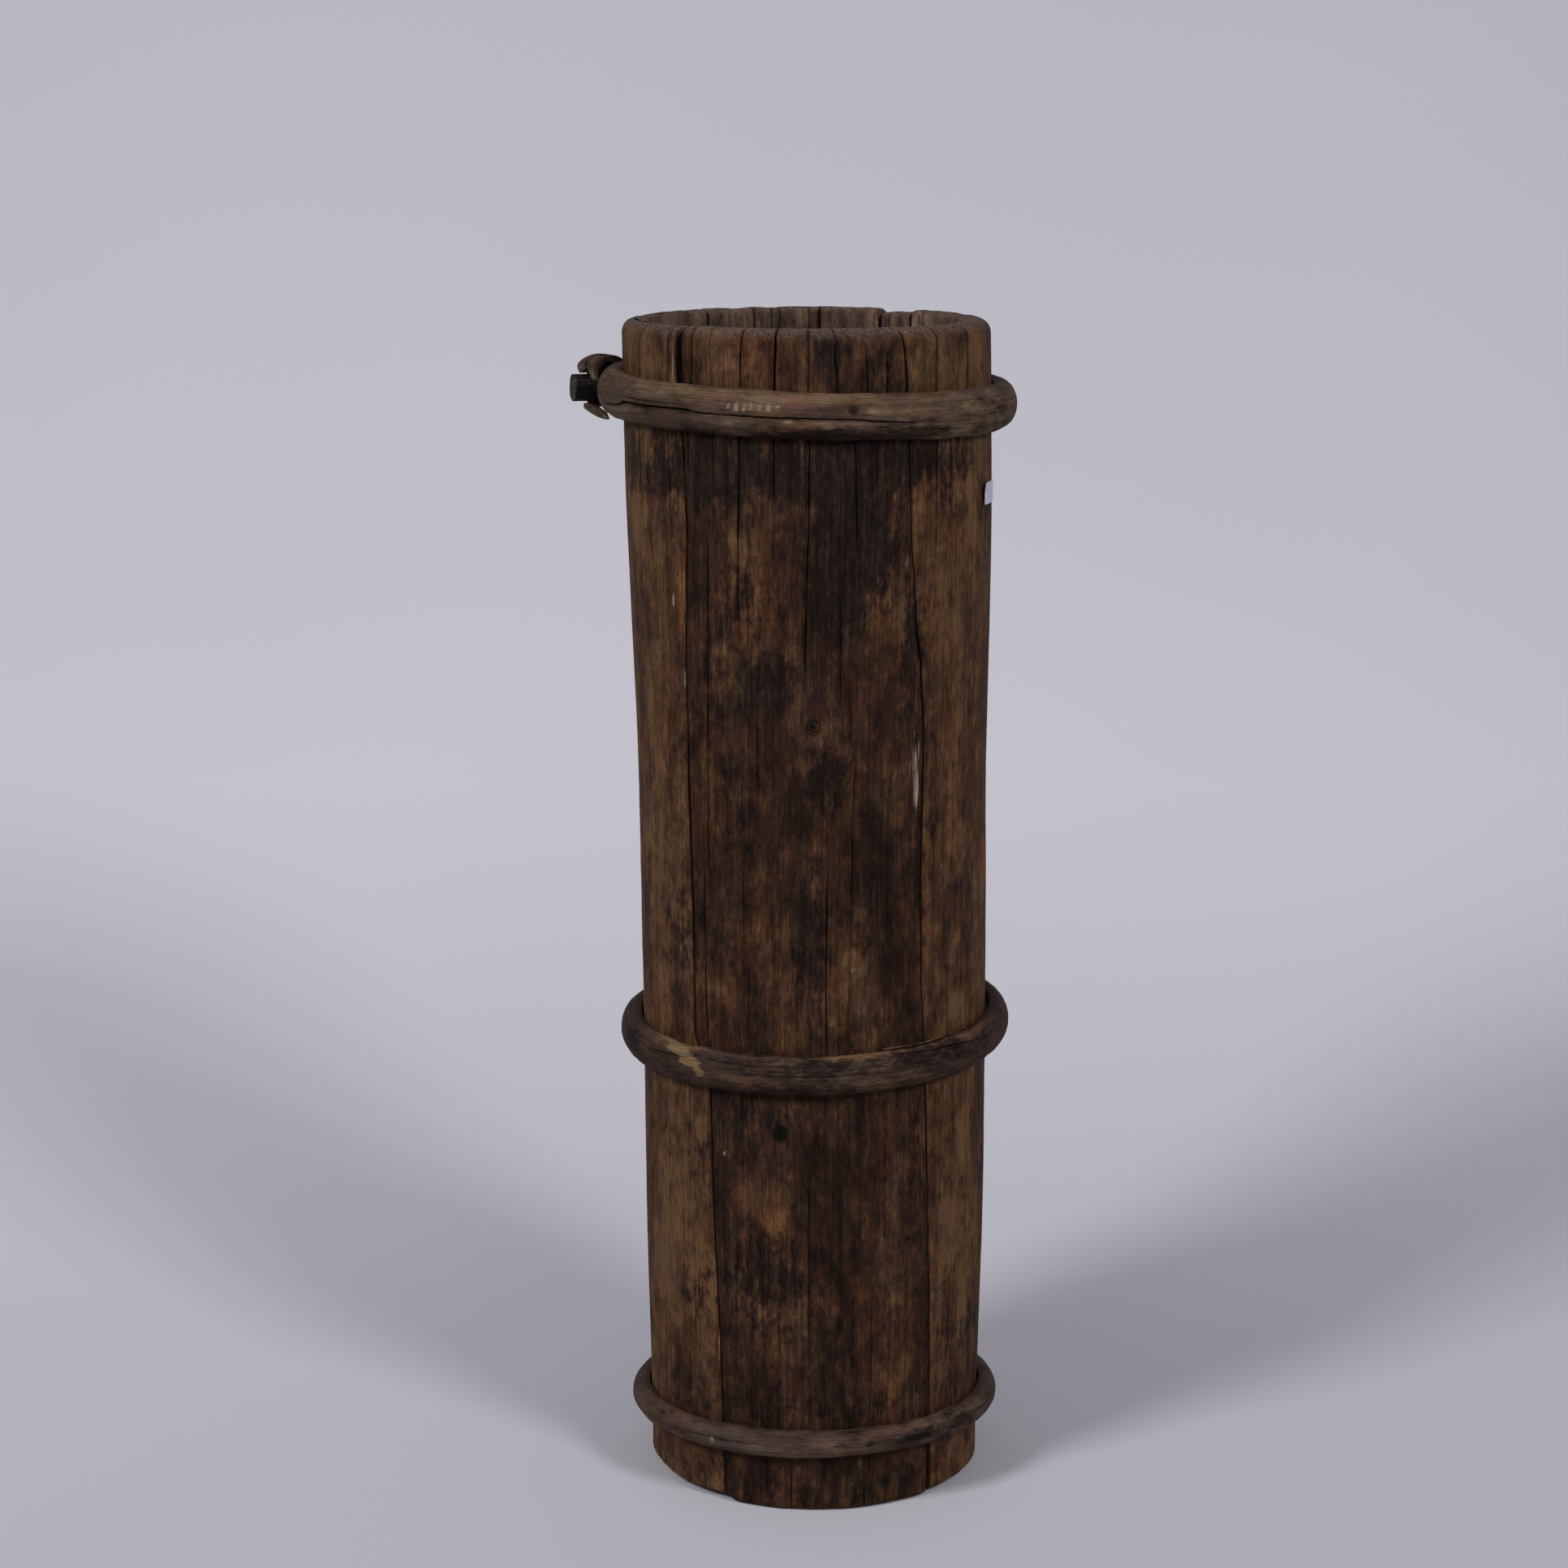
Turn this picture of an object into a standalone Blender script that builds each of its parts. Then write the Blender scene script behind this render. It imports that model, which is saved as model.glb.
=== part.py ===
"""Staved butter churn: a tall, open tub of wide riven staves held by three split-sapling hoops.

Frame: metres, +Z up, the front at -Y. The origin is on the floor, in the middle of the footprint.
Azimuths are in degrees, 0 at the front, positive towards +X, and 180 at the back.
"""

import math

import bmesh
import bpy
from mathutils import Matrix, Vector

# Body
BODY_HEIGHT = 0.660
OUTER_RADIUS_AT = ((0.0, 0.0947), (0.17, 0.0978), (0.38, 0.0982), (0.58, 0.1020), (BODY_HEIGHT, 0.1020))
WALL_AT_RIM = 0.0155
WALL_AT_FOOT = 0.0175
RIM_OUTER_ROUND = 0.0075
RIM_INNER_ROUND = 0.0030
FOOT_ROUND = 0.0020
LEAN = -0.0057  # sideways drift of the rim over the foot
LEAN_FROM_Z = 0.15
LEAN_POWER = 1.6

# Joints between staves: azimuth at each height. The grain spirals, so each leans to the left as it rises.
# The one at the front left is stepped behind the middle hoop.
JOINT_GAP = 0.0008
JOINTS = {
    "front_left": (
        (0.0, -32.4), (0.10, -33.6), (0.18, -35.3), (0.247, -36.1), (0.270, -42.4), (0.34, -42.5),
        (0.41, -43.4), (0.48, -42.6), (0.55, -40.3), (0.58, -40.2), (0.61, -41.7), (BODY_HEIGHT, -41.9),
    ),
    "front_right": (
        (0.0, 43.3), (0.045, 43.8), (0.10, 42.2), (0.18, 40.2), (0.247, 39.1), (0.30, 37.5), (0.36, 37.4),
        (0.44, 38.4), (0.48, 36.7), (0.50, 35.0), (0.55, 32.9), (BODY_HEIGHT, 31.0),
    ),
    "filler_right": ((0.0, 147.3), (BODY_HEIGHT, 137.2)),
    "filler_left": ((0.0, 161.4), (BODY_HEIGHT, 151.3)),
    "back_left": ((0.0, 230.0), (BODY_HEIGHT, 219.9)),
}
# Staves, each with the joint at its left edge and the one at its right edge, seen from outside
STAVES = (
    ("stave_front", "front_left", "front_right"),
    ("stave_right", "front_right", "filler_right"),
    ("stave_filler", "filler_right", "filler_left"),
    ("stave_back", "filler_left", "back_left"),
    ("stave_left", "back_left", "front_left"),
)
STAVE_STEP_DEG = 7.6
WALL_STATIONS = (0.06, 0.10, 0.18, 0.247, 0.27, 0.34, 0.41, 0.44, 0.48, 0.50, 0.55, 0.58, 0.61)

# Croze groove and the board that sits in it
CROZE_Z = 0.030
CROZE_HEIGHT = 0.0080
CROZE_DEPTH = 0.0045
BOARD_THICKNESS = 0.0140
BOARD_EDGE_CLEARANCE = 0.0004
BOARD_SEGMENTS = 40

# Hoops. Each is one split sapling whose thick end laps over its feathered end, held by a peg.
# A hoop sits aslant: rise_left and rise_front say how much higher it is at the left and at the front.
HOOP_STEP_DEG = 6.0
LAP_RUN_IN_DEG = 60.0
LAP_GAP = 0.0005
PEG_CLEARANCE = 0.0003
PEG_INNER_END = 0.0010
EYE_HALF_WIDTH_DEG = 11.0
HOOPS = {
    "top": dict(
        z=0.6165, height=0.0260, thick=0.0105, inner=(0.1060, 0.1029), rise_left=0.0036, rise_front=-0.0015,
        lap_end=-91.0, lap=46.0, tip=0.0030, end_thick=0.0087, eye_rise=0.0042,
        peg_azimuth=-97.3, peg_swing=24.0, shank_radius=0.0058, head_radius=0.0080, head_seat=0.0135,
        head_length=0.0138,
    ),
    "middle": dict(
        z=0.2590, height=0.0230, thick=0.0095, inner=(0.1012, 0.0992), rise_left=-0.0022, rise_front=-0.0040,
        lap_end=168.0, lap=40.0, tip=0.0028, end_thick=0.0075, eye_rise=0.0,
        peg_azimuth=160.0, peg_swing=0.0, shank_radius=0.0044, head_radius=0.0064, head_seat=0.0182,
        head_length=0.0060,
    ),
    "bottom": dict(
        z=0.0385, height=0.0166, thick=0.0085, inner=(0.0978, 0.0964), rise_left=-0.0010, rise_front=0.0030,
        lap_end=-158.0, lap=40.0, tip=0.0026, end_thick=0.0068, eye_rise=0.0,
        peg_azimuth=-166.0, peg_swing=0.0, shank_radius=0.0036, head_radius=0.0052, head_seat=0.0164,
        head_length=0.0050,
    ),
}

CUTTER_REACH = 0.05

# Blank paper label on the right stave
LABEL_Z = 0.566
LABEL_SIZE = (0.022, 0.012)
LABEL_LEFT_DEG = 69.0
LABEL_THICKNESS = 0.0003
LABEL_GAP = 0.0006

COLOURS = {
    "stave": (0.085, 0.048, 0.030),
    "board": (0.110, 0.068, 0.042),
    "hoop": (0.120, 0.085, 0.062),
    "peg": (0.050, 0.040, 0.036),
    "label": (0.700, 0.700, 0.740),
}


def smooth(t):
    t = min(max(t, 0.0), 1.0)
    return t * t * (3 - 2 * t)


def mix(a, b, t):
    return a + (b - a) * t


def along(stations, z, ease=lambda t: t):
    """The value at a height between (height, value) stations."""
    for (low, at_low), (high, at_high) in zip(stations, stations[1:]):
        if z <= high:
            return mix(at_low, at_high, ease((z - low) / (high - low)))
    return stations[-1][1]


def outer_radius(z):
    return along(OUTER_RADIUS_AT, z, smooth)


def inner_radius(z):
    return outer_radius(z) - mix(WALL_AT_FOOT, WALL_AT_RIM, z / BODY_HEIGHT)


def lean(z):
    up = max(z - LEAN_FROM_Z, 0.0) / (BODY_HEIGHT - LEAN_FROM_Z)
    return LEAN * up**LEAN_POWER


def around(azimuth_deg):
    """Unit vector that points outwards at an azimuth."""
    a = math.radians(azimuth_deg)
    return Vector((math.sin(a), -math.cos(a), 0.0))


def arc(centre, radius, start_deg, end_deg, steps):
    """Points of a quarter round in the section plane, as (r, z)."""
    angles = (math.radians(mix(start_deg, end_deg, i / steps)) for i in range(steps + 1))
    return [(centre[0] + radius * math.cos(a), centre[1] + radius * math.sin(a)) for a in angles]


def new_collection(name):
    collection = bpy.data.collections.new(name)
    bpy.context.scene.collection.children.link(collection)
    return collection


def material(name, roughness):
    made = bpy.data.materials.new(name)
    made.use_nodes = True
    shader = made.node_tree.nodes["Principled BSDF"]
    shader.inputs["Base Color"].default_value = (*COLOURS[name], 1.0)
    shader.inputs["Roughness"].default_value = roughness
    shader.inputs["Metallic"].default_value = 0.0
    return made


def object_from(bm, name, collection, look=None):
    bmesh.ops.recalc_face_normals(bm, faces=bm.faces)
    mesh = bpy.data.meshes.new(name)
    bm.to_mesh(mesh)
    bm.free()
    made = bpy.data.objects.new(name, mesh)
    collection.objects.link(made)
    if look:
        mesh.materials.append(look)
        mesh.shade_smooth()
        mesh.set_sharp_from_angle(angle=math.radians(35))
    return made


def spun(section, start_deg, sweep_deg, steps):
    """A bmesh solid: an (r, z) section turned about the upright axis from one azimuth.

    The section is a ladder of rungs, each a pair of points, one outside and one inside.
    """
    bm = bmesh.new()
    out = around(start_deg)
    rungs = [[bm.verts.new(out * r + Vector((0, 0, z))) for r, z in pair] for pair in section]
    for (outer, inner), (next_outer, next_inner) in zip(rungs, rungs[1:]):
        bm.faces.new((outer, next_outer, next_inner, inner))
    bmesh.ops.spin(
        bm, geom=bm.verts[:] + bm.edges[:] + bm.faces[:], cent=(0, 0, 0), axis=(0, 0, 1),
        angle=math.radians(sweep_deg), steps=steps,
    )
    return bm


def lofted(rings):
    """A bmesh solid through closed rings of equally many points, with a face across each end."""
    bm = bmesh.new()
    made = [[bm.verts.new(p) for p in ring] for ring in rings]
    for here, there in zip(made, made[1:]):
        for i in range(len(here)):
            j = (i + 1) % len(here)
            bm.faces.new((here[i], here[j], there[j], there[i]))
    bm.faces.new(made[0])
    bm.faces.new(made[-1])
    return bm


def turned(name, profile, steps, collection, look):
    """An object turned from an (r, z) profile that runs from the axis at the top to the axis below."""
    mesh = bpy.data.meshes.new(name)
    mesh.from_pydata([(r, 0, z) for r, z in profile], [(i, i + 1) for i in range(len(profile) - 1)], [])
    made = bpy.data.objects.new(name, mesh)
    collection.objects.link(made)
    screw = made.modifiers.new("turn", "SCREW")
    screw.axis = "Z"
    screw.steps = steps
    screw.render_steps = steps
    screw.use_merge_vertices = True
    screw.merge_threshold = 0.00001
    if look:
        mesh.materials.append(look)
    return made


def cut(target, cutter):
    cutter.hide_render = True
    cutter.display_type = "WIRE"
    boolean = target.modifiers.new("cut " + cutter.name, "BOOLEAN")
    boolean.operation = "DIFFERENCE"
    boolean.solver = "EXACT"
    boolean.object = cutter


def wall_section():
    """The wall's section as rungs from the foot to the rim, each an outer and an inner (r, z) point."""
    top, inside_top = outer_radius(BODY_HEIGHT), inner_radius(BODY_HEIGHT)
    inside, groove_top = inner_radius(CROZE_Z), CROZE_Z + CROZE_HEIGHT
    rungs = [
        ((outer_radius(0.0) - FOOT_ROUND, 0.0), (inner_radius(0.0) + FOOT_ROUND, 0.0)),
        ((outer_radius(0.0), FOOT_ROUND), (inner_radius(0.0), FOOT_ROUND)),
        ((outer_radius(CROZE_Z), CROZE_Z - CROZE_DEPTH), (inside, CROZE_Z)),
        ((outer_radius(CROZE_Z), CROZE_Z), (inside + CROZE_DEPTH, CROZE_Z)),
        ((outer_radius(groove_top), groove_top), (inside + CROZE_DEPTH, groove_top)),
        ((outer_radius(groove_top), groove_top + CROZE_DEPTH), (inside, groove_top)),
    ]
    rungs += [((outer_radius(z), z), (inner_radius(z), z)) for z in WALL_STATIONS]
    outside_round = arc((top - RIM_OUTER_ROUND, BODY_HEIGHT - RIM_OUTER_ROUND), RIM_OUTER_ROUND, 0, 90, 4)
    inside_round = arc((inside_top + RIM_INNER_ROUND, BODY_HEIGHT - RIM_INNER_ROUND), RIM_INNER_ROUND, 180, 90, 4)
    return rungs + list(zip(outside_round, inside_round))


def build_stave(name, left_joint, right_joint, collection, look):
    """A stave is the wall's section swept through its width at the foot. Each height is then turned and
    stretched to reach from one joint to the other, and leant with the body."""
    left_foot, right_foot = JOINTS[left_joint][0][1], JOINTS[right_joint][0][1]
    if right_foot < left_foot:
        right_foot += 360.0
    steps = max(2, round((right_foot - left_foot) / STAVE_STEP_DEG))
    bm = spun(wall_section(), 0.0, right_foot - left_foot, steps)
    gap = math.degrees(JOINT_GAP / outer_radius(BODY_HEIGHT))
    for v in bm.verts:
        share = math.degrees(math.atan2(v.co.x, -v.co.y)) % 360.0 / (right_foot - left_foot)
        left = along(JOINTS[left_joint], v.co.z) + gap / 2
        right = along(JOINTS[right_joint], v.co.z) - gap / 2
        azimuth = mix(left, right + 360.0 * (right < left), share)
        v.co = around(azimuth) * v.co.xy.length + Vector((lean(v.co.z), 0, v.co.z))
    return object_from(bm, name, collection, look)


def build_board(collection, look):
    """The bottom board, its rim bevelled down to a tongue that sits in the croze."""
    tongue = CROZE_HEIGHT - 2 * BOARD_EDGE_CLEARANCE
    mid = CROZE_Z + CROZE_HEIGHT / 2
    edge = (inner_radius(CROZE_Z) + CROZE_DEPTH) * math.cos(math.radians(STAVE_STEP_DEG / 2)) - BOARD_EDGE_CLEARANCE
    shoulder = inner_radius(CROZE_Z) - CROZE_DEPTH
    profile = [
        (0.0, mid + BOARD_THICKNESS / 2),
        (shoulder, mid + BOARD_THICKNESS / 2),
        (inner_radius(CROZE_Z) - BOARD_EDGE_CLEARANCE, mid + tongue / 2),
        (edge, mid + tongue / 2),
        (edge, mid - tongue / 2),
        (inner_radius(CROZE_Z) - BOARD_EDGE_CLEARANCE, mid - tongue / 2),
        (shoulder, mid - BOARD_THICKNESS / 2),
        (0.0, mid - BOARD_THICKNESS / 2),
    ]
    return turned("bottom_board", profile, BOARD_SEGMENTS, collection, look)


def hoop_height(hoop, azimuth_deg):
    """The hoop's middle at an azimuth: it sits a little aslant on the body."""
    out = around(azimuth_deg)
    return hoop["z"] - hoop["rise_left"] * out.x - hoop["rise_front"] * out.y


def hoop_frame(hoop, azimuth_deg, offset):
    """Point on the hoop's inner face, moved outwards by offset, and the outward direction there."""
    a, b = hoop["inner"]
    out = around(azimuth_deg)
    normal = Vector((out.x / a, out.y / b, 0.0)).normalized()
    point = Vector((out.x * a, out.y * b, hoop_height(hoop, azimuth_deg))) + normal * offset
    point.x += lean(hoop["z"])
    return point, normal


def half_round(point, normal, height, thick, eye_rise):
    """A split sapling's section: flat towards the staves, round outside, its top edge raised at an eye."""
    flat = [(0.0, -0.46), (0.0, 0.46)]
    crown = [(0.30, 0.50), (0.68, 0.40), (0.93, 0.20), (1.0, 0.0), (0.93, -0.20), (0.68, -0.40), (0.30, -0.50)]
    return [
        point + normal * (thick * out) + Vector((0, 0, height * up + eye_rise * max(up, 0.0) / 0.5))
        for out, up in flat + crown
    ]


def hoop_ring(hoop, along):
    """The hoop's section at an angle along its own length, from the feathered end to the thick one."""
    inner_tip = hoop["lap_end"] - hoop["lap"]
    azimuth = inner_tip + along

    def beneath(angle):
        return mix(hoop["tip"], hoop["thick"], smooth(angle / (0.7 * hoop["lap"])))

    thick, offset, eye_rise = beneath(along), 0.0, 0.0
    over = along - 360.0
    if over > -LAP_RUN_IN_DEG:
        run_in = smooth((over + LAP_RUN_IN_DEG) / LAP_RUN_IN_DEG)
        offset = (beneath(over) + LAP_GAP) * run_in
        thick = mix(hoop["thick"], hoop["end_thick"], smooth(over / hoop["lap"]))
        from_peg = (azimuth - 360.0 - hoop["peg_azimuth"]) / EYE_HALF_WIDTH_DEG
        eye_rise = hoop["eye_rise"] * math.exp(-from_peg * from_peg)
    point, normal = hoop_frame(hoop, azimuth, offset)
    return half_round(point, normal, hoop["height"], thick, eye_rise)


def build_hoop(label, hoop, collection, cutters, look):
    """One sapling bent once round the body, with a hole through its lap for the peg."""
    sweep = 360.0 + hoop["lap"]
    steps = round(sweep / HOOP_STEP_DEG)
    made = object_from(lofted([hoop_ring(hoop, sweep * i / steps) for i in range(steps + 1)]), "hoop_" + label,
                       collection, look)
    shank = hoop["shank_radius"] + PEG_CLEARANCE
    head = hoop["head_radius"] + 2 * PEG_CLEARANCE
    seat = hoop["head_seat"] - 2 * PEG_CLEARANCE
    hole = [(0, CUTTER_REACH), (head, CUTTER_REACH), (head, seat), (shank, seat), (shank, -CUTTER_REACH),
            (0, -CUTTER_REACH)]
    cut(made, on_peg_axis(hoop, turned("peg_hole_" + label, hole, 20, cutters, None)))


def on_peg_axis(hoop, made):
    """Stands an upright turned object on the hoop's peg axis, its origin on the hoop's inner face."""
    point, normal = hoop_frame(hoop, hoop["peg_azimuth"], 0.0)
    direction = Matrix.Rotation(math.radians(hoop["peg_swing"]), 3, "Z") @ normal
    made.location = point
    made.rotation_euler = direction.to_track_quat("Z", "Y").to_euler()
    return made


def build_peg(label, hoop, collection, look):
    """A whittled peg with a bevelled head, driven through the lap from outside."""
    seat, head, shank = hoop["head_seat"], hoop["head_radius"], hoop["shank_radius"]
    end = seat + hoop["head_length"]
    bevel = 0.22 * head
    profile = [
        (0.0, end),
        (head - bevel, end),
        (head - 0.3 * bevel, end - 0.3 * bevel),
        (head, end - bevel),
        (head, seat + 0.5 * bevel),
        (head - 0.5 * bevel, seat),
        (shank, seat),
        (shank, 2 * PEG_INNER_END),
        (0.8 * shank, PEG_INNER_END),
        (0.0, PEG_INNER_END),
    ]
    on_peg_axis(hoop, turned("peg_" + label, profile, 20, collection, look))


def build_label(collection, look):
    """A blank paper label bent round the right stave."""
    width, height = LABEL_SIZE
    radius = outer_radius(LABEL_Z) + LABEL_GAP
    section = [((radius + LABEL_THICKNESS, z), (radius, z)) for z in (LABEL_Z - height / 2, LABEL_Z + height / 2)]
    bm = spun(section, LABEL_LEFT_DEG, math.degrees(width / radius), 6)
    bmesh.ops.translate(bm, verts=bm.verts, vec=(lean(LABEL_Z), 0, 0))
    return object_from(bm, "paper_label", collection, look)


def centre_footprint(collection):
    """Moves everything sideways so that the origin is in the middle of the footprint."""
    bpy.context.view_layer.update()
    graph = bpy.context.evaluated_depsgraph_get()
    corners = []
    for made in collection.objects:
        evaluated = made.evaluated_get(graph)
        corners += [evaluated.matrix_world @ v.co for v in evaluated.to_mesh().vertices]
        evaluated.to_mesh_clear()
    shift = [-(min(c[i] for c in corners) + max(c[i] for c in corners)) / 2 for i in (0, 1)]
    for made in bpy.data.objects:
        made.location.x += shift[0]
        made.location.y += shift[1]
    print("axis of the foot at", [round(s, 6) for s in shift])


def main():
    for old in list(bpy.data.objects):
        bpy.data.objects.remove(old)
    churn = new_collection("butter_churn")
    cutters = new_collection("cutters")
    looks = {name: material(name, 0.5 if name == "label" else 0.75) for name in COLOURS}
    for name, left, right in STAVES:
        build_stave(name, left, right, churn, looks["stave"])
    build_board(churn, looks["board"])
    for label, hoop in HOOPS.items():
        build_hoop(label, hoop, churn, cutters, looks["hoop"])
        build_peg(label, hoop, churn, looks["peg"])
    build_label(churn, looks["label"])
    centre_footprint(churn)


main()
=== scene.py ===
"""An old staved butter churn: weathered riven staves, split-sapling hoops and the pegs that lock them.

Metres, +Z up, the front at -Y. Azimuths are in degrees about the churn's axis, 0 at the front, positive
towards +X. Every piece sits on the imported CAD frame.
"""

import math

import bpy
import numpy as np
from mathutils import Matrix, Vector


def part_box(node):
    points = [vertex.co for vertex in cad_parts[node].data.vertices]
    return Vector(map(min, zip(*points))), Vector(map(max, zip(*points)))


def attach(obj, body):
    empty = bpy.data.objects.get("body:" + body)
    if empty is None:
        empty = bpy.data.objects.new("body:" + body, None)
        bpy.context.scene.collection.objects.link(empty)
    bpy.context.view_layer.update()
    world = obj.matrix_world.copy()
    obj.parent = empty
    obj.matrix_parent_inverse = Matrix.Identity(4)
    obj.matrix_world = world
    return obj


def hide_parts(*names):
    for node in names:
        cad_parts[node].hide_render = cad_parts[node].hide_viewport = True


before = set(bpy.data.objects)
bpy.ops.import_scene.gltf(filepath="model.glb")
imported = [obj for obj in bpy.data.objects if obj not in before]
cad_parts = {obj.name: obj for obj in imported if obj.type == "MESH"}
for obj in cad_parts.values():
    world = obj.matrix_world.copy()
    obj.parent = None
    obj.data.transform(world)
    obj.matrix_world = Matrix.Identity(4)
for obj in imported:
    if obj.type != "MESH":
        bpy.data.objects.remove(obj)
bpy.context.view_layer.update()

# ------------------------------------------------------------------ the body's size, as in the frame
BOARD_LOW, BOARD_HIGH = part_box("bottom_board")
AXIS = np.array(((BOARD_LOW.x + BOARD_HIGH.x) / 2, (BOARD_LOW.y + BOARD_HIGH.y) / 2, 0.0))
BODY_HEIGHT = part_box("stave_front")[1].z
OUTER_RADIUS_AT = ((0.0, 0.0947), (0.17, 0.0978), (0.38, 0.0982), (0.58, 0.1020), (BODY_HEIGHT, 0.1020))
WALL_AT_RIM = 0.0155
WALL_AT_FOOT = 0.0175
RIM_OUTER_ROUND = 0.0078
RIM_INNER_ROUND = 0.0032
FOOT_ROUND = 0.0016
LEAN = -0.0057
LEAN_FROM_Z = 0.15
LEAN_POWER = 1.6
CROZE_LOW, CROZE_HIGH, CROZE_DEPTH = 0.030, 0.038, 0.0045
MEAN_RADIUS = 0.1
MM = 0.001

# Joints between staves: (height, azimuth, gap in mm)
JOINTS = {
    "front_left": (
        (0.0, -32.4, 0.9), (0.1, -33.6, 0.8), (0.18, -35.3, 1.0), (0.247, -36.1, 0.9), (0.27, -42.4, 0.9),
        (0.34, -42.5, 1.0), (0.41, -43.4, 1.7), (0.42, -43.3, 1.0), (0.48, -42.6, 1.1), (0.55, -40.3, 1.3),
        (0.58, -40.2, 1.4), (0.61, -41.7, 2.4), (0.628, -42.0, 5.2), (BODY_HEIGHT, -41.9, 4.8),
    ),
    "front_right": (
        (0.0, 43.3, 4.4), (0.028, 43.4, 4.0), (0.04, 43.8, 1.4), (0.1, 42.2, 1.1), (0.18, 40.2, 1.0),
        (0.247, 39.1, 0.8), (0.3, 37.5, 0.5), (0.36, 37.4, 0.9), (0.44, 38.4, 1.3), (0.48, 36.7, 1.4),
        (0.5, 35.0, 1.1), (0.55, 32.9, 0.7), (0.64, 31.5, 1.3), (BODY_HEIGHT, 30.2, 1.1),
    ),
    "filler_right": ((0.0, 147.3, 0.9), (0.6, 138.1, 1.0), (BODY_HEIGHT, 137.2, 2.4)),
    "filler_left": ((0.0, 161.4, 0.8), (0.6, 152.2, 1.0), (BODY_HEIGHT, 151.3, 3.4)),
    "back_left": ((0.0, 230.0, 0.9), (0.6, 220.8, 1.0), (BODY_HEIGHT, 219.9, 2.2)),
}

# Staves: joint at the left edge, joint at the right edge, how far the foot stops short of the floor in mm,
# how far the top stops short of the rim in mm, seed
STAVES = {
    "stave_front": ("front_left", "front_right", 0.0, 0.0, 11),
    "stave_right": ("front_right", "filler_right", 1.2, 0.3, 12),
    "stave_filler": ("filler_right", "filler_left", 0.6, 2.0, 13),
    "stave_back": ("filler_left", "back_left", 0.4, 0.2, 14),
    "stave_left": ("back_left", "front_left", 3.0, 0.4, 15),
}

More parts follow.
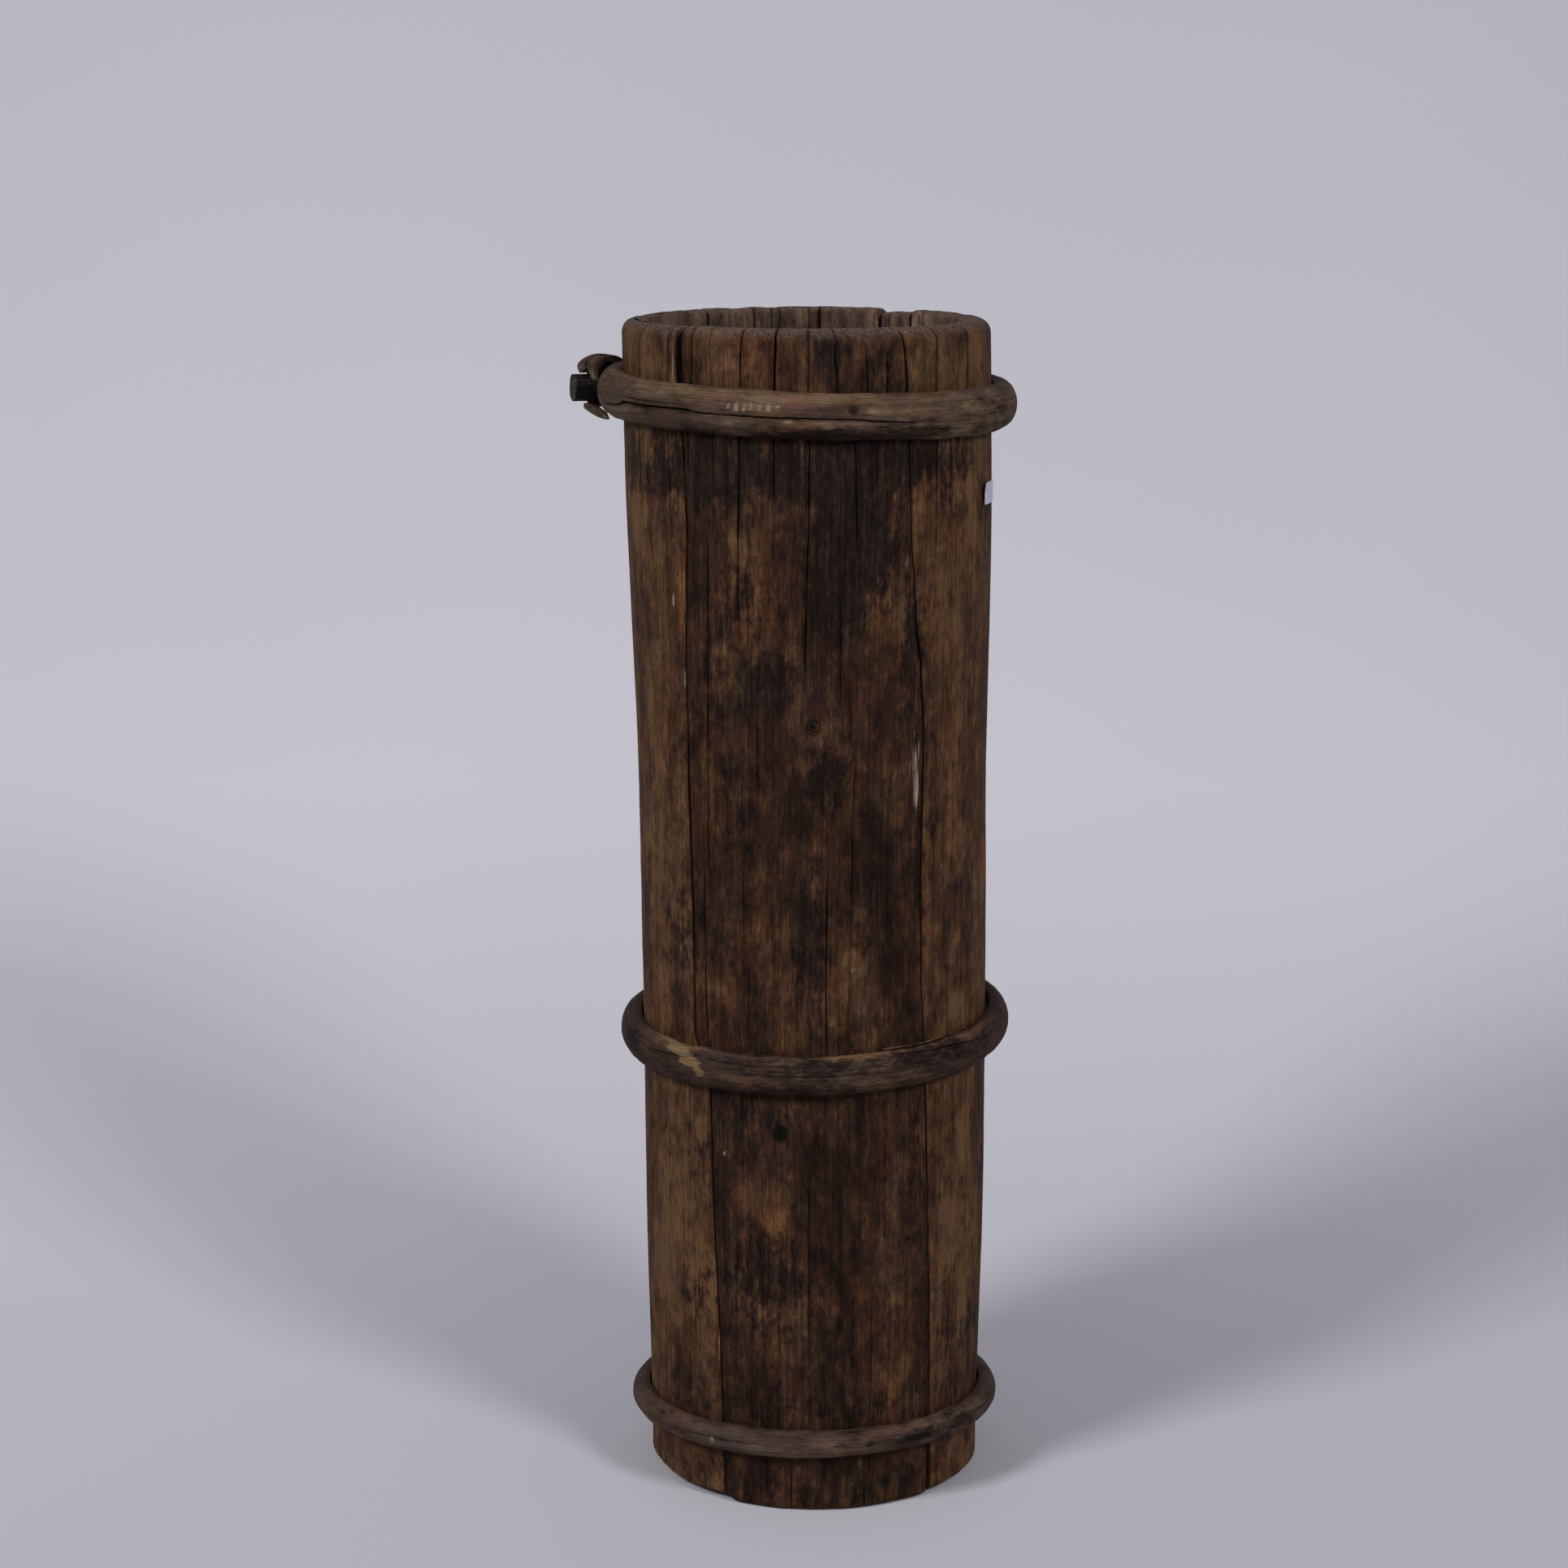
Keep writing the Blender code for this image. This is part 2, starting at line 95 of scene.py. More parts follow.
# Drying cracks in each stave's outer face: path as (height, azimuth) upwards, width and depth in mm
CRACKS = {
    "stave_left": (
        (((0.35, -112.0), (0.5, -115.5), (0.66, -118.5)), 0.9, 4.0),
        (((0.0, -95.0), (0.14, -97.0)), 0.8, 3.0),
        (((0.46, -84.0), (0.66, -87.5)), 0.7, 3.0),
        (((0.545, -62.6), (0.6, -63.7), (0.63, -63.1), (0.65, -62.2), (0.66, -60.5)), 0.9, 3.5),
        (((0.52, -56.0), (0.57, -59.5)), 0.5, 1.5),
        (((0.55, -46.9), (0.6, -47.4), (0.63, -46.9), (0.65, -46.3), (0.66, -45.2)), 1.0, 4.0),
    ),
    "stave_front": (
        (((0.572, -39.4), (0.59, -38.6), (0.605, -38.6), (0.63, -37.0), (0.66, -36.2)), 0.9, 3.5),
        (((0.262, -36.6), (0.28, -37.0), (0.33, -37.4), (0.372, -37.2)), 1.0, 4.0),
        (((0.352, -35.4), (0.4, -35.3), (0.46, -34.2), (0.5, -33.0), (0.557, -31.8)), 0.8, 3.5),
        (((0.572, -29.6), (0.6, -29.5), (0.66, -30.0)), 0.6, 2.0),
        (((0.325, -22.9), (0.372, -22.5)), 0.5, 1.5),
        (((0.262, -21.9), (0.32, -21.2)), 0.5, 1.5),
        (((0.505, -22.4), (0.54, -22.0), (0.58, -21.2), (0.6, -20.8), (0.64, -20.0),
        (0.66, -19.2)), 1.0, 4.5),
        (((0.48, -19.3), (0.545, -19.0)), 0.5, 1.5),
        (((0.405, -17.7), (0.462, -16.8)), 0.6, 2.0),
        (((0.32, -13.3), (0.362, -13.0)), 0.6, 2.0),
        (((0.565, -10.3), (0.6, -10.0), (0.63, -9.6), (0.66, -8.8)), 1.7, 6.0),
        (((0.0, -7.9), (0.035, -7.6)), 0.7, 2.5),
        (((0.09, -1.8), (0.16, -2.0), (0.205, -1.5)), 0.5, 1.5),
        (((0.465, -1.9), (0.5, -1.2), (0.56, 0.2), (0.6, 0.6), (0.66, 0.8)), 0.9, 3.5),
        (((0.262, 4.1), (0.3, 4.0), (0.34, 4.3), (0.372, 4.7)), 0.9, 4.0),
        (((0.455, 9.0), (0.525, 9.4)), 0.6, 2.0),
        (((0.6, 9.8), (0.63, 9.4), (0.645, 8.7), (0.654, 9.2), (0.66, 8.4)), 1.0, 4.0),
        (((0.335, 12.6), (0.38, 12.8), (0.4, 13.0), (0.425, 13.8)), 0.7, 2.5),
        (((0.432, 12.8), (0.44, 12.3), (0.475, 12.0)), 0.7, 2.0),
        (((0.535, 14.9), (0.56, 14.7), (0.6, 14.4), (0.63, 13.6)), 0.9, 4.0),
        (((0.0, 17.3), (0.035, 17.0)), 0.6, 2.0),
        (((0.05, 19.4), (0.125, 19.2)), 0.4, 1.0),
        (((0.6, 18.5), (0.64, 18.4), (0.656, 17.9)), 0.8, 3.0),
        (((0.57, 21.4), (0.61, 21.2)), 0.5, 1.5),
        (((0.61, 25.0), (0.645, 25.2), (0.656, 25.7)), 0.8, 2.5),
    ),
    "stave_right": (
        (((0.53, 42.0), (0.575, 42.9), (0.6, 42.7), (0.64, 42.9), (0.655, 43.2), (0.66, 42.3)), 0.9, 3.5),
        (((0.52, 46.7), (0.54, 47.4), (0.562, 48.0)), 0.7, 2.5),
        (((0.6, 58.6), (0.66, 58.3)), 0.7, 2.5),
        (((0.42, 62.6), (0.47, 64.2), (0.51, 66.8), (0.56, 68.2), (0.61, 69.0)), 0.8, 3.5),
        (((0.615, 71.0), (0.66, 69.8)), 0.7, 2.5),
        (((0.04, 77.0), (0.18, 74.5)), 0.7, 3.0),
        (((0.3, 96.0), (0.56, 92.0), (0.66, 90.0)), 0.9, 4.0),
        (((0.0, 110.0), (0.22, 107.0)), 0.8, 3.0),
        (((0.4, 121.0), (0.66, 117.0)), 1.0, 4.0),
    ),
    "stave_filler": (
        (((0.45, 147.0), (0.66, 144.0)), 0.7, 2.5),
    ),
    "stave_back": (
        (((0.28, 171.0), (0.5, 168.0), (0.66, 166.0)), 0.9, 4.0),
        (((0.0, 184.0), (0.2, 181.0)), 0.8, 3.0),
        (((0.52, 191.0), (0.66, 189.0)), 0.9, 3.5),
        (((0.1, 207.0), (0.38, 203.0)), 0.8, 3.0),
        (((0.55, 209.0), (0.66, 207.0)), 0.8, 3.0),
    ),
}

# Cracks in the inner face, the same way. They run down from the rim.
INNER_CRACKS = {
    "stave_right": ((((0.5, 131.0), (0.66, 130.6)), 1.0, 3.0), (((0.4, 95.0), (0.66, 92.0)), 0.9, 3.0)),
    "stave_filler": ((((0.48, 149.0), (0.66, 147.0)), 0.7, 2.0),),
    "stave_back": (
        (((0.35, 176.4), (0.66, 175.1)), 1.6, 4.0),
        (((0.55, 180.0), (0.66, 179.0)), 0.6, 2.0),
        (((0.45, 191.2), (0.66, 190.1)), 0.9, 2.5),
        (((0.58, 194.2), (0.66, 193.3)), 0.7, 2.0),
        (((0.4, 201.5), (0.66, 200.2)), 1.0, 3.0),
    ),
    "stave_left": ((((0.5, 231.5), (0.66, 229.9)), 0.8, 2.5), (((0.36, -90.0), (0.66, -94.0)), 0.9, 3.0)),
    "stave_front": ((((0.42, -6.0), (0.66, -8.8)), 1.0, 3.0), (((0.52, 21.0), (0.66, 19.0)), 0.8, 2.5)),
}

# Old dirt and wear on the outside: azimuth, height, half-width in degrees, half-height, strength
DIRT = (
    (-32, 0.585, 30, 0.02, 1.2), (20, 0.59, 26, 0.018, 1.2), (15, 0.552, 13, 0.04, 1.5),
    (8, 0.515, 9, 0.02, 1.0), (-14, 0.472, 12, 0.018, 0.9), (4, 0.42, 8, 0.02, 0.9),
    (-1, 0.332, 5, 0.042, 0.9), (-32, 0.465, 7, 0.04, 0.5), (33, 0.488, 4, 0.036, 1.2),
    (-48, 0.325, 10, 0.032, 0.6), (-24, 0.405, 7, 0.022, 0.5), (-22, 0.515, 8, 0.02, 0.6),
    (-16, 0.135, 15, 0.033, 0.9), (8, 0.092, 6, 0.014, 0.6), (36, 0.2, 4, 0.045, 0.6),
    (62, 0.092, 17, 0.013, 0.6), (-43, 0.122, 7, 0.026, 0.5), (-20, 0.232, 12, 0.012, 0.7),
    (-40, 0.2, 5, 0.026, 0.4), (52, 0.578, 8, 0.022, 0.6), (0, 0.012, 80, 0.016, 0.4),
    (0, 0.06, 70, 0.01, 0.5), (7, 0.645, 4, 0.02, 0.9), (25, 0.64, 6, 0.016, 0.7),
    (-72, 0.585, 9, 0.022, 0.6), (38, 0.36, 4, 0.06, 0.3), (20, 0.34, 10, 0.03, 0.35),
    (95, 0.56, 20, 0.05, 0.8), (120, 0.36, 18, 0.08, 0.7), (85, 0.2, 14, 0.06, 0.6),
    (170, 0.58, 22, 0.04, 0.8), (185, 0.4, 16, 0.07, 0.7), (160, 0.16, 20, 0.05, 0.7),
    (210, 0.28, 18, 0.07, 0.7), (225, 0.52, 14, 0.05, 0.7), (250, 0.12, 20, 0.04, 0.6),
    (262, 0.42, 14, 0.06, 0.6),
)
WORN = (
    (-16, 0.54, 10, 0.03, 0.9), (-10, 0.5, 9, 0.022, 0.5), (24, 0.512, 6, 0.012, 0.8),
    (-14, 0.335, 8, 0.055, 0.9), (-64, 0.36, 9, 0.075, 0.7), (-62, 0.54, 9, 0.03, 0.5),
    (60, 0.555, 11, 0.03, 1.0), (54, 0.43, 9, 0.06, 0.5), (50, 0.5, 8, 0.03, 0.5),
    (-18, 0.18, 11, 0.02, 0.9),
    (-56, 0.175, 12, 0.06, 0.7), (58, 0.17, 12, 0.05, 0.5), (17, 0.28, 4, 0.025, 0.5),
    (22, 0.065, 10, 0.012, 0.4), (-35, 0.43, 3, 0.016, 0.6), (-28, 0.3, 6, 0.02, 0.6),
    (-58, 0.645, 8, 0.016, 0.6), (47, 0.645, 6, 0.014, 0.6), (100, 0.3, 14, 0.05, 0.6),
    (140, 0.52, 12, 0.06, 0.7), (195, 0.2, 14, 0.05, 0.7), (235, 0.36, 12, 0.06, 0.7),
    (270, 0.26, 12, 0.06, 0.7), (205, 0.5, 8, 0.04, 0.6), (115, 0.14, 10, 0.04, 0.5),
    (-24, 0.65, 16, 0.022, 0.9), (14, 0.652, 10, 0.018, 0.5), (0, 0.675, 50, 0.006, 0.6),
)

# Torn places where paler wood shows: azimuth, height, half-width in degrees, half-height, strength
SPLINTERED = (
    (35.4, 0.409, 1.1, 0.01, 0.95), (34.9, 0.432, 1.5, 0.013, 0.5), (33.4, 0.42, 0.8, 0.007, 0.4),
    (-33.7, 0.099, 0.5, 0.017, 0.5), (12.7, 0.313, 0.5, 0.002, 0.7), (-30.8, 0.206, 0.5, 0.0018, 0.6),
    (-47.5, 0.512, 0.8, 0.004, 0.7), (-50.0, 0.499, 0.5, 0.003, 0.4), (31.2, 0.535, 0.8, 0.006, 0.5),
    (-43.4, 0.47, 0.4, 0.006, 0.6), (-44.4, 0.635, 0.7, 0.018, 0.5), (30.2, 0.644, 0.4, 0.002, 0.7),
)
# Pits, in the same columns: dented in, and painted with shade inside
PITS = (
    (35.2, 0.437, 0.8, 0.006, 1.0), (13.7, 0.43, 0.5, 0.0022, 0.9), (57.0, 0.468, 0.5, 0.002, 0.9),
    (32.0, 0.156, 0.5, 0.0016, 0.8), (39.5, 0.57, 0.6, 0.002, 0.8), (-46.2, 0.201, 0.9, 0.0015, 1.0),
    (33.2, 0.422, 0.7, 0.01, 0.6), (31.6, 0.527, 1.2, 0.008, 0.7), (35.5, 0.495, 0.6, 0.008, 0.6),
)
# Knots: azimuth, height, radius in mm, how evenly dark they are from 0 to 1
KNOTS = {
    "stave_front": ((0.8, 0.447, 4.4, 0.4), (-11.5, 0.2215, 5.0, 1.0)),
    "stave_right": ((104.0, 0.31, 5.0, 0.4),),
    "stave_back": ((188.0, 0.36, 6.0, 0.3),),
    "stave_left": ((-100.0, 0.24, 5.0, 0.8),),
}
# How much lighter or darker each stave is
LEVELS = {"stave_front": -0.02, "stave_right": 0.2, "stave_filler": 0.1, "stave_back": 0.05,
          "stave_left": 0.21}

# ------------------------------------------------------------------ hoops, as in the frame
LAP_RUN_IN_DEG = 60.0
LAP_GAP = 0.0005
PEG_CLEARANCE = 0.0003
PEG_INNER_END = 0.001
EYE_HALF_WIDTH_DEG = 11.0
HOOPS = {
    "top": dict(
        z=0.6165, height=0.026, thick=0.0105, inner=(0.106, 0.1029), rise_left=0.0036, rise_front=-0.0015,
        lap_end=-91.0, lap=46.0, tip=0.003, end_thick=0.0087, eye_rise=0.0036,
        peg_azimuth=-97.3, peg_swing=24.0, shank_radius=0.0058, head_radius=0.008, head_seat=0.0135,
        head_length=0.0138, seed=31,
    ),
    "middle": dict(
        z=0.259, height=0.023, thick=0.0095, inner=(0.1012, 0.0992), rise_left=-0.0022, rise_front=-0.004,
        lap_end=168.0, lap=40.0, tip=0.0028, end_thick=0.0075, eye_rise=0.0,
        peg_azimuth=160.0, peg_swing=0.0, shank_radius=0.0044, head_radius=0.0064, head_seat=0.0182,
        head_length=0.006, seed=32,
    ),
    "bottom": dict(
        z=0.0385, height=0.0166, thick=0.0085, inner=(0.0978, 0.0964), rise_left=-0.001, rise_front=0.003,
        lap_end=-158.0, lap=40.0, tip=0.0026, end_thick=0.0068, eye_rise=0.0,
        peg_azimuth=-166.0, peg_swing=0.0, shank_radius=0.0036, head_radius=0.0052, head_seat=0.0164,
        head_length=0.005, seed=33,
    ),
}
# Splits along a hoop's outer face: path as (azimuth, height), width and depth in mm
SPLITS = {
    "top": (
        (((-76.0, 0.615), (-60.0, 0.616), (-45.0, 0.6166), (-20.0, 0.6152), (0.0, 0.614), (10.0, 0.6136),
          (20.0, 0.6122), (33.0, 0.6105)), 1.3, 3.4),
        (((-62.0, 0.6215), (-50.0, 0.6208), (-30.0, 0.6198)), 0.5, 1.0),
        (((120.0, 0.616), (150.0, 0.617), (185.0, 0.616)), 0.9, 2.2),
        (((196.0, 0.621), (214.0, 0.619), (250.0, 0.617)), 0.8, 2.0),
    ),
    "middle": (
        (((22.0, 0.2665), (40.0, 0.266), (62.0, 0.265)), 0.6, 1.5),
        (((-62.0, 0.2585), (-50.0, 0.26), (-38.0, 0.2612)), 0.6, 1.2),
        (((95.0, 0.259), (130.0, 0.261)), 0.8, 2.0),
        (((205.0, 0.26), (262.0, 0.262)), 0.9, 2.2),
    ),
    "bottom": (
        (((-50.0, 0.0405), (-30.0, 0.0412), (-16.0, 0.042)), 0.5, 1.0),
        (((70.0, 0.038), (118.0, 0.036)), 0.7, 1.6),
        (((196.0, 0.036), (240.0, 0.037)), 0.7, 1.6),
    ),
}
# Marks on the hoops: azimuth, height, half-width in degrees, half-height, strength
HOOP_DIRT = {
    "top": ((5, 0.606, 10, 0.005, 0.8), (30, 0.607, 8, 0.006, 0.9), (40, 0.606, 1.5, 0.0012, 1.6),
            (12.3, 0.618, 1.1, 0.0018, 1.8), (48, 0.6155, 1.5, 0.003, 0.7), (-30, 0.605, 10, 0.004, 0.5),
            (-52, 0.618, 8, 0.004, 0.5), (60, 0.612, 12, 0.01, 0.5), (0, 0.603, 60, 0.003, 0.7)),
    "middle": ((7.5, 0.2615, 1.3, 0.0016, 1.8), (-5, 0.262, 20, 0.01, 0.75), (40, 0.262, 22, 0.01, 0.7),
               (-66, 0.258, 12, 0.008, 0.6), (0, 0.249, 60, 0.003, 0.5)),
    "bottom": ((17, 0.042, 0.8, 0.0014, 1.6), (10, 0.042, 8, 0.006, 0.5), (42, 0.042, 18, 0.008, 0.65),
               (0, 0.033, 60, 0.0025, 0.6)),
}
HOOP_WORN = {
    "top": ((-8, 0.625, 18, 0.004, 0.8), (-40, 0.627, 14, 0.004, 0.6), (8, 0.611, 8, 0.0016, 0.9),
            (-20, 0.61, 18, 0.004, 0.6), (17.5, 0.6175, 1.6, 0.002, 0.9), (-60, 0.612, 8, 0.005, 0.5),
            (48, 0.6175, 2.5, 0.003, 0.7)),
    "middle": ((-18, 0.252, 14, 0.003, 0.6), (14, 0.267, 12, 0.0022, 1.0), (20, 0.251, 10, 0.003, 0.9),
               (50, 0.27, 14, 0.003, 0.7), (-44, 0.266, 13, 0.0035, 0.8)),
    "bottom": ((2, 0.035, 9, 0.0025, 0.9), (5, 0.043, 3, 0.003, 0.7), (-40, 0.046, 16, 0.002, 0.6),
               (40, 0.047, 14, 0.002, 0.6)),
}
HOOP_TORN = {
    "top": ((-21.0, 0.6212, 0.6, 0.0022, 0.9), (-18.7, 0.6205, 0.7, 0.003, 1.2),
            (-16.6, 0.6198, 0.6, 0.0026, 1.1), (-14.9, 0.6205, 0.5, 0.0022, 1.0),
            (-12.4, 0.6203, 0.6, 0.002, 1.0), (-10.0, 0.62, 0.7, 0.0026, 1.1), (-7.6, 0.62, 0.6, 0.002, 0.9),
            (-75, 0.6095, 8, 0.003, 0.5), (-5, 0.6128, 3, 0.001, 0.9), (-50, 0.612, 9, 0.0012, 0.5)),
    "middle": ((-54, 0.2685, 6, 0.0025, 0.9), (-45, 0.2645, 5, 0.003, 1.0), (-39, 0.259, 4, 0.0035, 1.0),
               (-35, 0.253, 2, 0.003, 0.8), (4, 0.269, 3, 0.0012, 0.9), (24, 0.2695, 6, 0.0012, 0.8)),
    "bottom": ((-33, 0.04, 1.2, 0.0016, 1.0), (-60, 0.047, 5, 0.0015, 0.5)),
}

LABEL_Z = 0.566
LABEL_SIZE = (0.022, 0.012)
LABEL_LEFT_DEG = 69.0
LABEL_THICKNESS = 0.0003
LABEL_GAP = 0.0006

# ------------------------------------------------------------------ how fine the meshes are
# Rows of points up the outside and down the inside of a stave
OUTSIDE_ROWS, INSIDE_ROWS = 262, 128
# How far apart a stave's columns of points are
COLUMN_WIDTH = 0.00135
# The columns near a stave's edge, by their distance from it, and how worn each one is; a quarter of this also
# paints shade into the joint
EDGE_COLUMNS = (0.0, 0.0005, 0.0013, 0.0026)
EDGE_WEAR_AND_SHADE = (0.9, 0.35, 0.08, 0.0)
# A crack narrows to a point over the first height, and past its end its column drifts back over the second
CRACK_TAPER, CRACK_FADE = 0.020, 0.014
# Cracks that pass each other are at least this many columns apart
ROOM_FOR_CRACK = 4
# A crack that ends this near to the foot or the rim runs out of it
RUNS_OUT = 0.002
# How far apart a hoop's rows of points are, and the length over which its splits narrow to a point
HOOP_STEP_DEG = 0.62
SPLIT_TAPER_DEG = 9.0
SHARP_EDGE_DEG = 50

# Roughness, in layers: depth in mm, size across the grain, size along it, seed offset
STAVE_LAYERS = ((0.34, 0.016, 0.17, 0), (0.20, 0.0062, 0.10, 1), (0.10, 0.0027, 0.035, 2),
                (0.06, 0.0027, 0.009, 7))
RIM_LAYERS = ((0.40, 0.012, 0.007, 4), (0.18, 0.0035, 0.003, 5))
HOOP_LAYERS = ((0.20, 0.012, 0.040, 0), (0.10, 0.004, 0.06, 1), (0.07, 0.0022, 0.020, 2))


# ------------------------------------------------------------------ arithmetic
def smooth(t):
    t = np.clip(t, 0.0, 1.0)
    return t * t * (3 - 2 * t)


def mix(a, b, t):
    return a + (b - a) * t


def path(stations, at):
    """The value at a place between (place, value) stations."""
    return np.interp(at, [s[0] for s in stations], [s[1] for s in stations])


def outer_radius(z):
    z = np.asarray(z, float)
    radius = np.full(z.shape, OUTER_RADIUS_AT[0][1])
    for (low, at_low), (high, at_high) in zip(OUTER_RADIUS_AT, OUTER_RADIUS_AT[1:]):
        radius = np.where(z > low, mix(at_low, at_high, smooth((z - low) / (high - low))), radius)
    return radius


def inner_radius(z):
    return outer_radius(z) - mix(WALL_AT_FOOT, WALL_AT_RIM, np.asarray(z, float) / BODY_HEIGHT)


def lean(z):
    return LEAN * (np.maximum(z - LEAN_FROM_Z, 0.0) / (BODY_HEIGHT - LEAN_FROM_Z)) ** LEAN_POWER


def turn_to(azimuth, near):
    """The azimuths as the nearest full turn to another azimuth."""
    return near + (np.asarray(azimuth, float) - near + 180.0) % 360.0 - 180.0


def lattice(seed, i, j):
    n = (i.astype(np.int64) * 374761393 + j.astype(np.int64) * 668265263 + seed * 974634777) & 0xFFFFFFFF
    n = ((n ^ (n >> 13)) * 1274126177) & 0xFFFFFFFF
    return ((n ^ (n >> 16)) & 0xFFFF) / 32767.5 - 1.0


def noise(seed, x, y):
    """Smooth noise from -1 to 1 on a unit grid."""
    x, y = np.broadcast_arrays(np.asarray(x, float), np.asarray(y, float))
    i, j = np.floor(x), np.floor(y)
    u, v = smooth(x - i), smooth(y - j)
    low = mix(lattice(seed, i, j), lattice(seed, i + 1, j), u)
    high = mix(lattice(seed, i, j + 1), lattice(seed, i + 1, j + 1), u)
    return mix(low, high, v)


def layered(layers, seed, x, y):
    """Noise summed over layers of depth, size across, size along and seed offset."""
    return sum(depth * noise(seed + shift, x / across, y / along) for depth, across, along, shift in layers)


def curve_through(stations, count):
    """Points along a smooth curve that passes through every station."""
    knots = np.array(stations)
    knots = np.vstack((2 * knots[0] - knots[1], knots, 2 * knots[-1] - knots[-2]))
    points = []
    for t in np.linspace(0, len(stations) - 1 - 1e-6, count):
        k, u = int(t) + 1, t - int(t)
        a, b, c, d = knots[k - 1 : k + 3]
        bend = (2 * b, c - a, 2 * a - 5 * b + 4 * c - d, 3 * b - a - 3 * c + d)
        points.append(0.5 * (bend[0] + bend[1] * u + bend[2] * u**2 + bend[3] * u**3))
    return np.array(points)


def stained(marks, azimuth, z, centre):
    """How strongly a list of marks covers each point."""
    total = np.zeros(np.broadcast(azimuth, z).shape)
    for at, height, half_width, half_height, strength in marks:
        near = turn_to(at, centre)
        if abs(near - centre) > 120:
            continue
        far = ((azimuth - near) / half_width) ** 2 + ((z - height) / half_height) ** 2
        total += strength * np.exp(-0.9 * far * np.sqrt(far + 0.05))
    return total


# ------------------------------------------------------------------ meshes
def link(name, data):
    """A new object in the scene, from a mesh, a light or a camera."""
    made = bpy.data.objects.new(name, data)
    bpy.context.scene.collection.objects.link(made)
    return made


def add_mesh(name, points, faces, grain, **marks):
    """A smooth-shaded object. The grain places each point in the wood, and a mark is a strength per point."""
    mesh = bpy.data.meshes.new(name)
    mesh.from_pydata(points.reshape(-1, 3), [], faces)
    made = mesh.attributes.new("grain", "FLOAT_VECTOR", "POINT")
    made.data.foreach_set("vector", grain.astype(np.float32).ravel())
    for key, values in marks.items():
        made = mesh.attributes.new(key, "FLOAT", "POINT")
        made.data.foreach_set("value", np.broadcast_to(values, points.shape[:-1]).astype(np.float32).ravel())
    mesh.shade_smooth()
    mesh.set_sharp_from_angle(angle=math.radians(SHARP_EDGE_DEG))
    mesh.validate()
    return link(name, mesh)


def band_faces(rows, columns, close_rows=False, close_columns=False):
    """Quads over a grid of points, as an array of point numbers."""
    i = np.arange(rows if close_rows else rows - 1)
    j = np.arange(columns if close_columns else columns - 1)
    i, j = np.meshgrid(i, j, indexing="ij")
    here, there = i * columns, ((i + 1) % rows) * columns
    right = (j + 1) % columns
    return np.stack((here + j, here + right, there + right, there + j), axis=-1).reshape(-1, 4)


def tube_faces(rows, columns):
    """Quads round a tube of rings, with a fan at each end to the two points that follow the rings."""
    ring = [(j, (j + 1) % columns) for j in range(columns)]
    first, last, far = rows * columns, rows * columns + 1, (rows - 1) * columns
    faces = band_faces(rows, columns, close_columns=True).tolist()
    faces += [(first, b, a) for a, b in ring]
    return faces + [(last, far + a, far + b) for a, b in ring]


def zipped(chain_a, chain_b, reach):
    """Triangles between two chains of point numbers, each time from the one whose next point is less far."""
    faces, a, b = [], 0, 0
    while a < len(chain_a) - 1 or b < len(chain_b) - 1:
        next_a = reach[chain_a[a + 1]] if a < len(chain_a) - 1 else math.inf
        next_b = reach[chain_b[b + 1]] if b < len(chain_b) - 1 else math.inf
        if next_a <= next_b:
            faces.append((chain_a[a], chain_a[a + 1], chain_b[b]))
            a += 1
        else:
            faces.append((chain_a[a], chain_b[b + 1], chain_b[b]))
            b += 1
    return [face for face in faces if len(set(face)) == 3]


# ------------------------------------------------------------------ staves
def wall_loop():
    """The wall's outline in section, up the outside, over the rim and down the inside.

    Columns: radius, height, 1 outside to 0 inside, 1 on the rim and the foot.
    """
    top, inside_top = float(outer_radius(BODY_HEIGHT)), float(inner_radius(BODY_HEIGHT))
    rows = [(float(outer_radius(z)), z, 1.0, 0.0)
            for z in np.linspace(FOOT_ROUND, BODY_HEIGHT - RIM_OUTER_ROUND, OUTSIDE_ROWS)]
    for angle in np.radians(np.linspace(0, 90, 8)[1:]):
        rows.append((top - RIM_OUTER_ROUND * (1 - math.cos(angle)),
                     BODY_HEIGHT - RIM_OUTER_ROUND * (1 - math.sin(angle)), 1.0, math.sin(angle) ** 2))
    for share in (0.25, 0.5, 0.75):
        flat = mix(top - RIM_OUTER_ROUND, inside_top + RIM_INNER_ROUND, share)
        rows.append((flat, BODY_HEIGHT, 1.0 - share, 1.0))
    for angle in np.radians(np.linspace(90, 180, 6)):
        rows.append((inside_top + RIM_INNER_ROUND * (1 + math.cos(angle)),
                     BODY_HEIGHT - RIM_INNER_ROUND * (1 - math.sin(angle)), 0.0, max(math.sin(angle), 0.0)))
    rows += [(float(inner_radius(z)), z, 0.0, 0.0)
             for z in np.linspace(BODY_HEIGHT - RIM_INNER_ROUND - 0.004, 0.046, INSIDE_ROWS)]
    for z, deep in ((CROZE_HIGH + 0.0005, 0), (CROZE_HIGH, 1), (CROZE_LOW, 1), (CROZE_LOW - 0.0005, 0),
                    (0.02, 0), (0.01, 0), (FOOT_ROUND, 0)):
        rows.append((float(inner_radius(z)) + deep * CROZE_DEPTH, z, 0.0, 0.0))
    foot_in, foot_out = float(inner_radius(0)), float(outer_radius(0))
    rows += [(mix(foot_in, foot_out, share), 0.0, share, 1.0) for share in (0.1, 0.5, 0.9)]
    return np.array(rows)


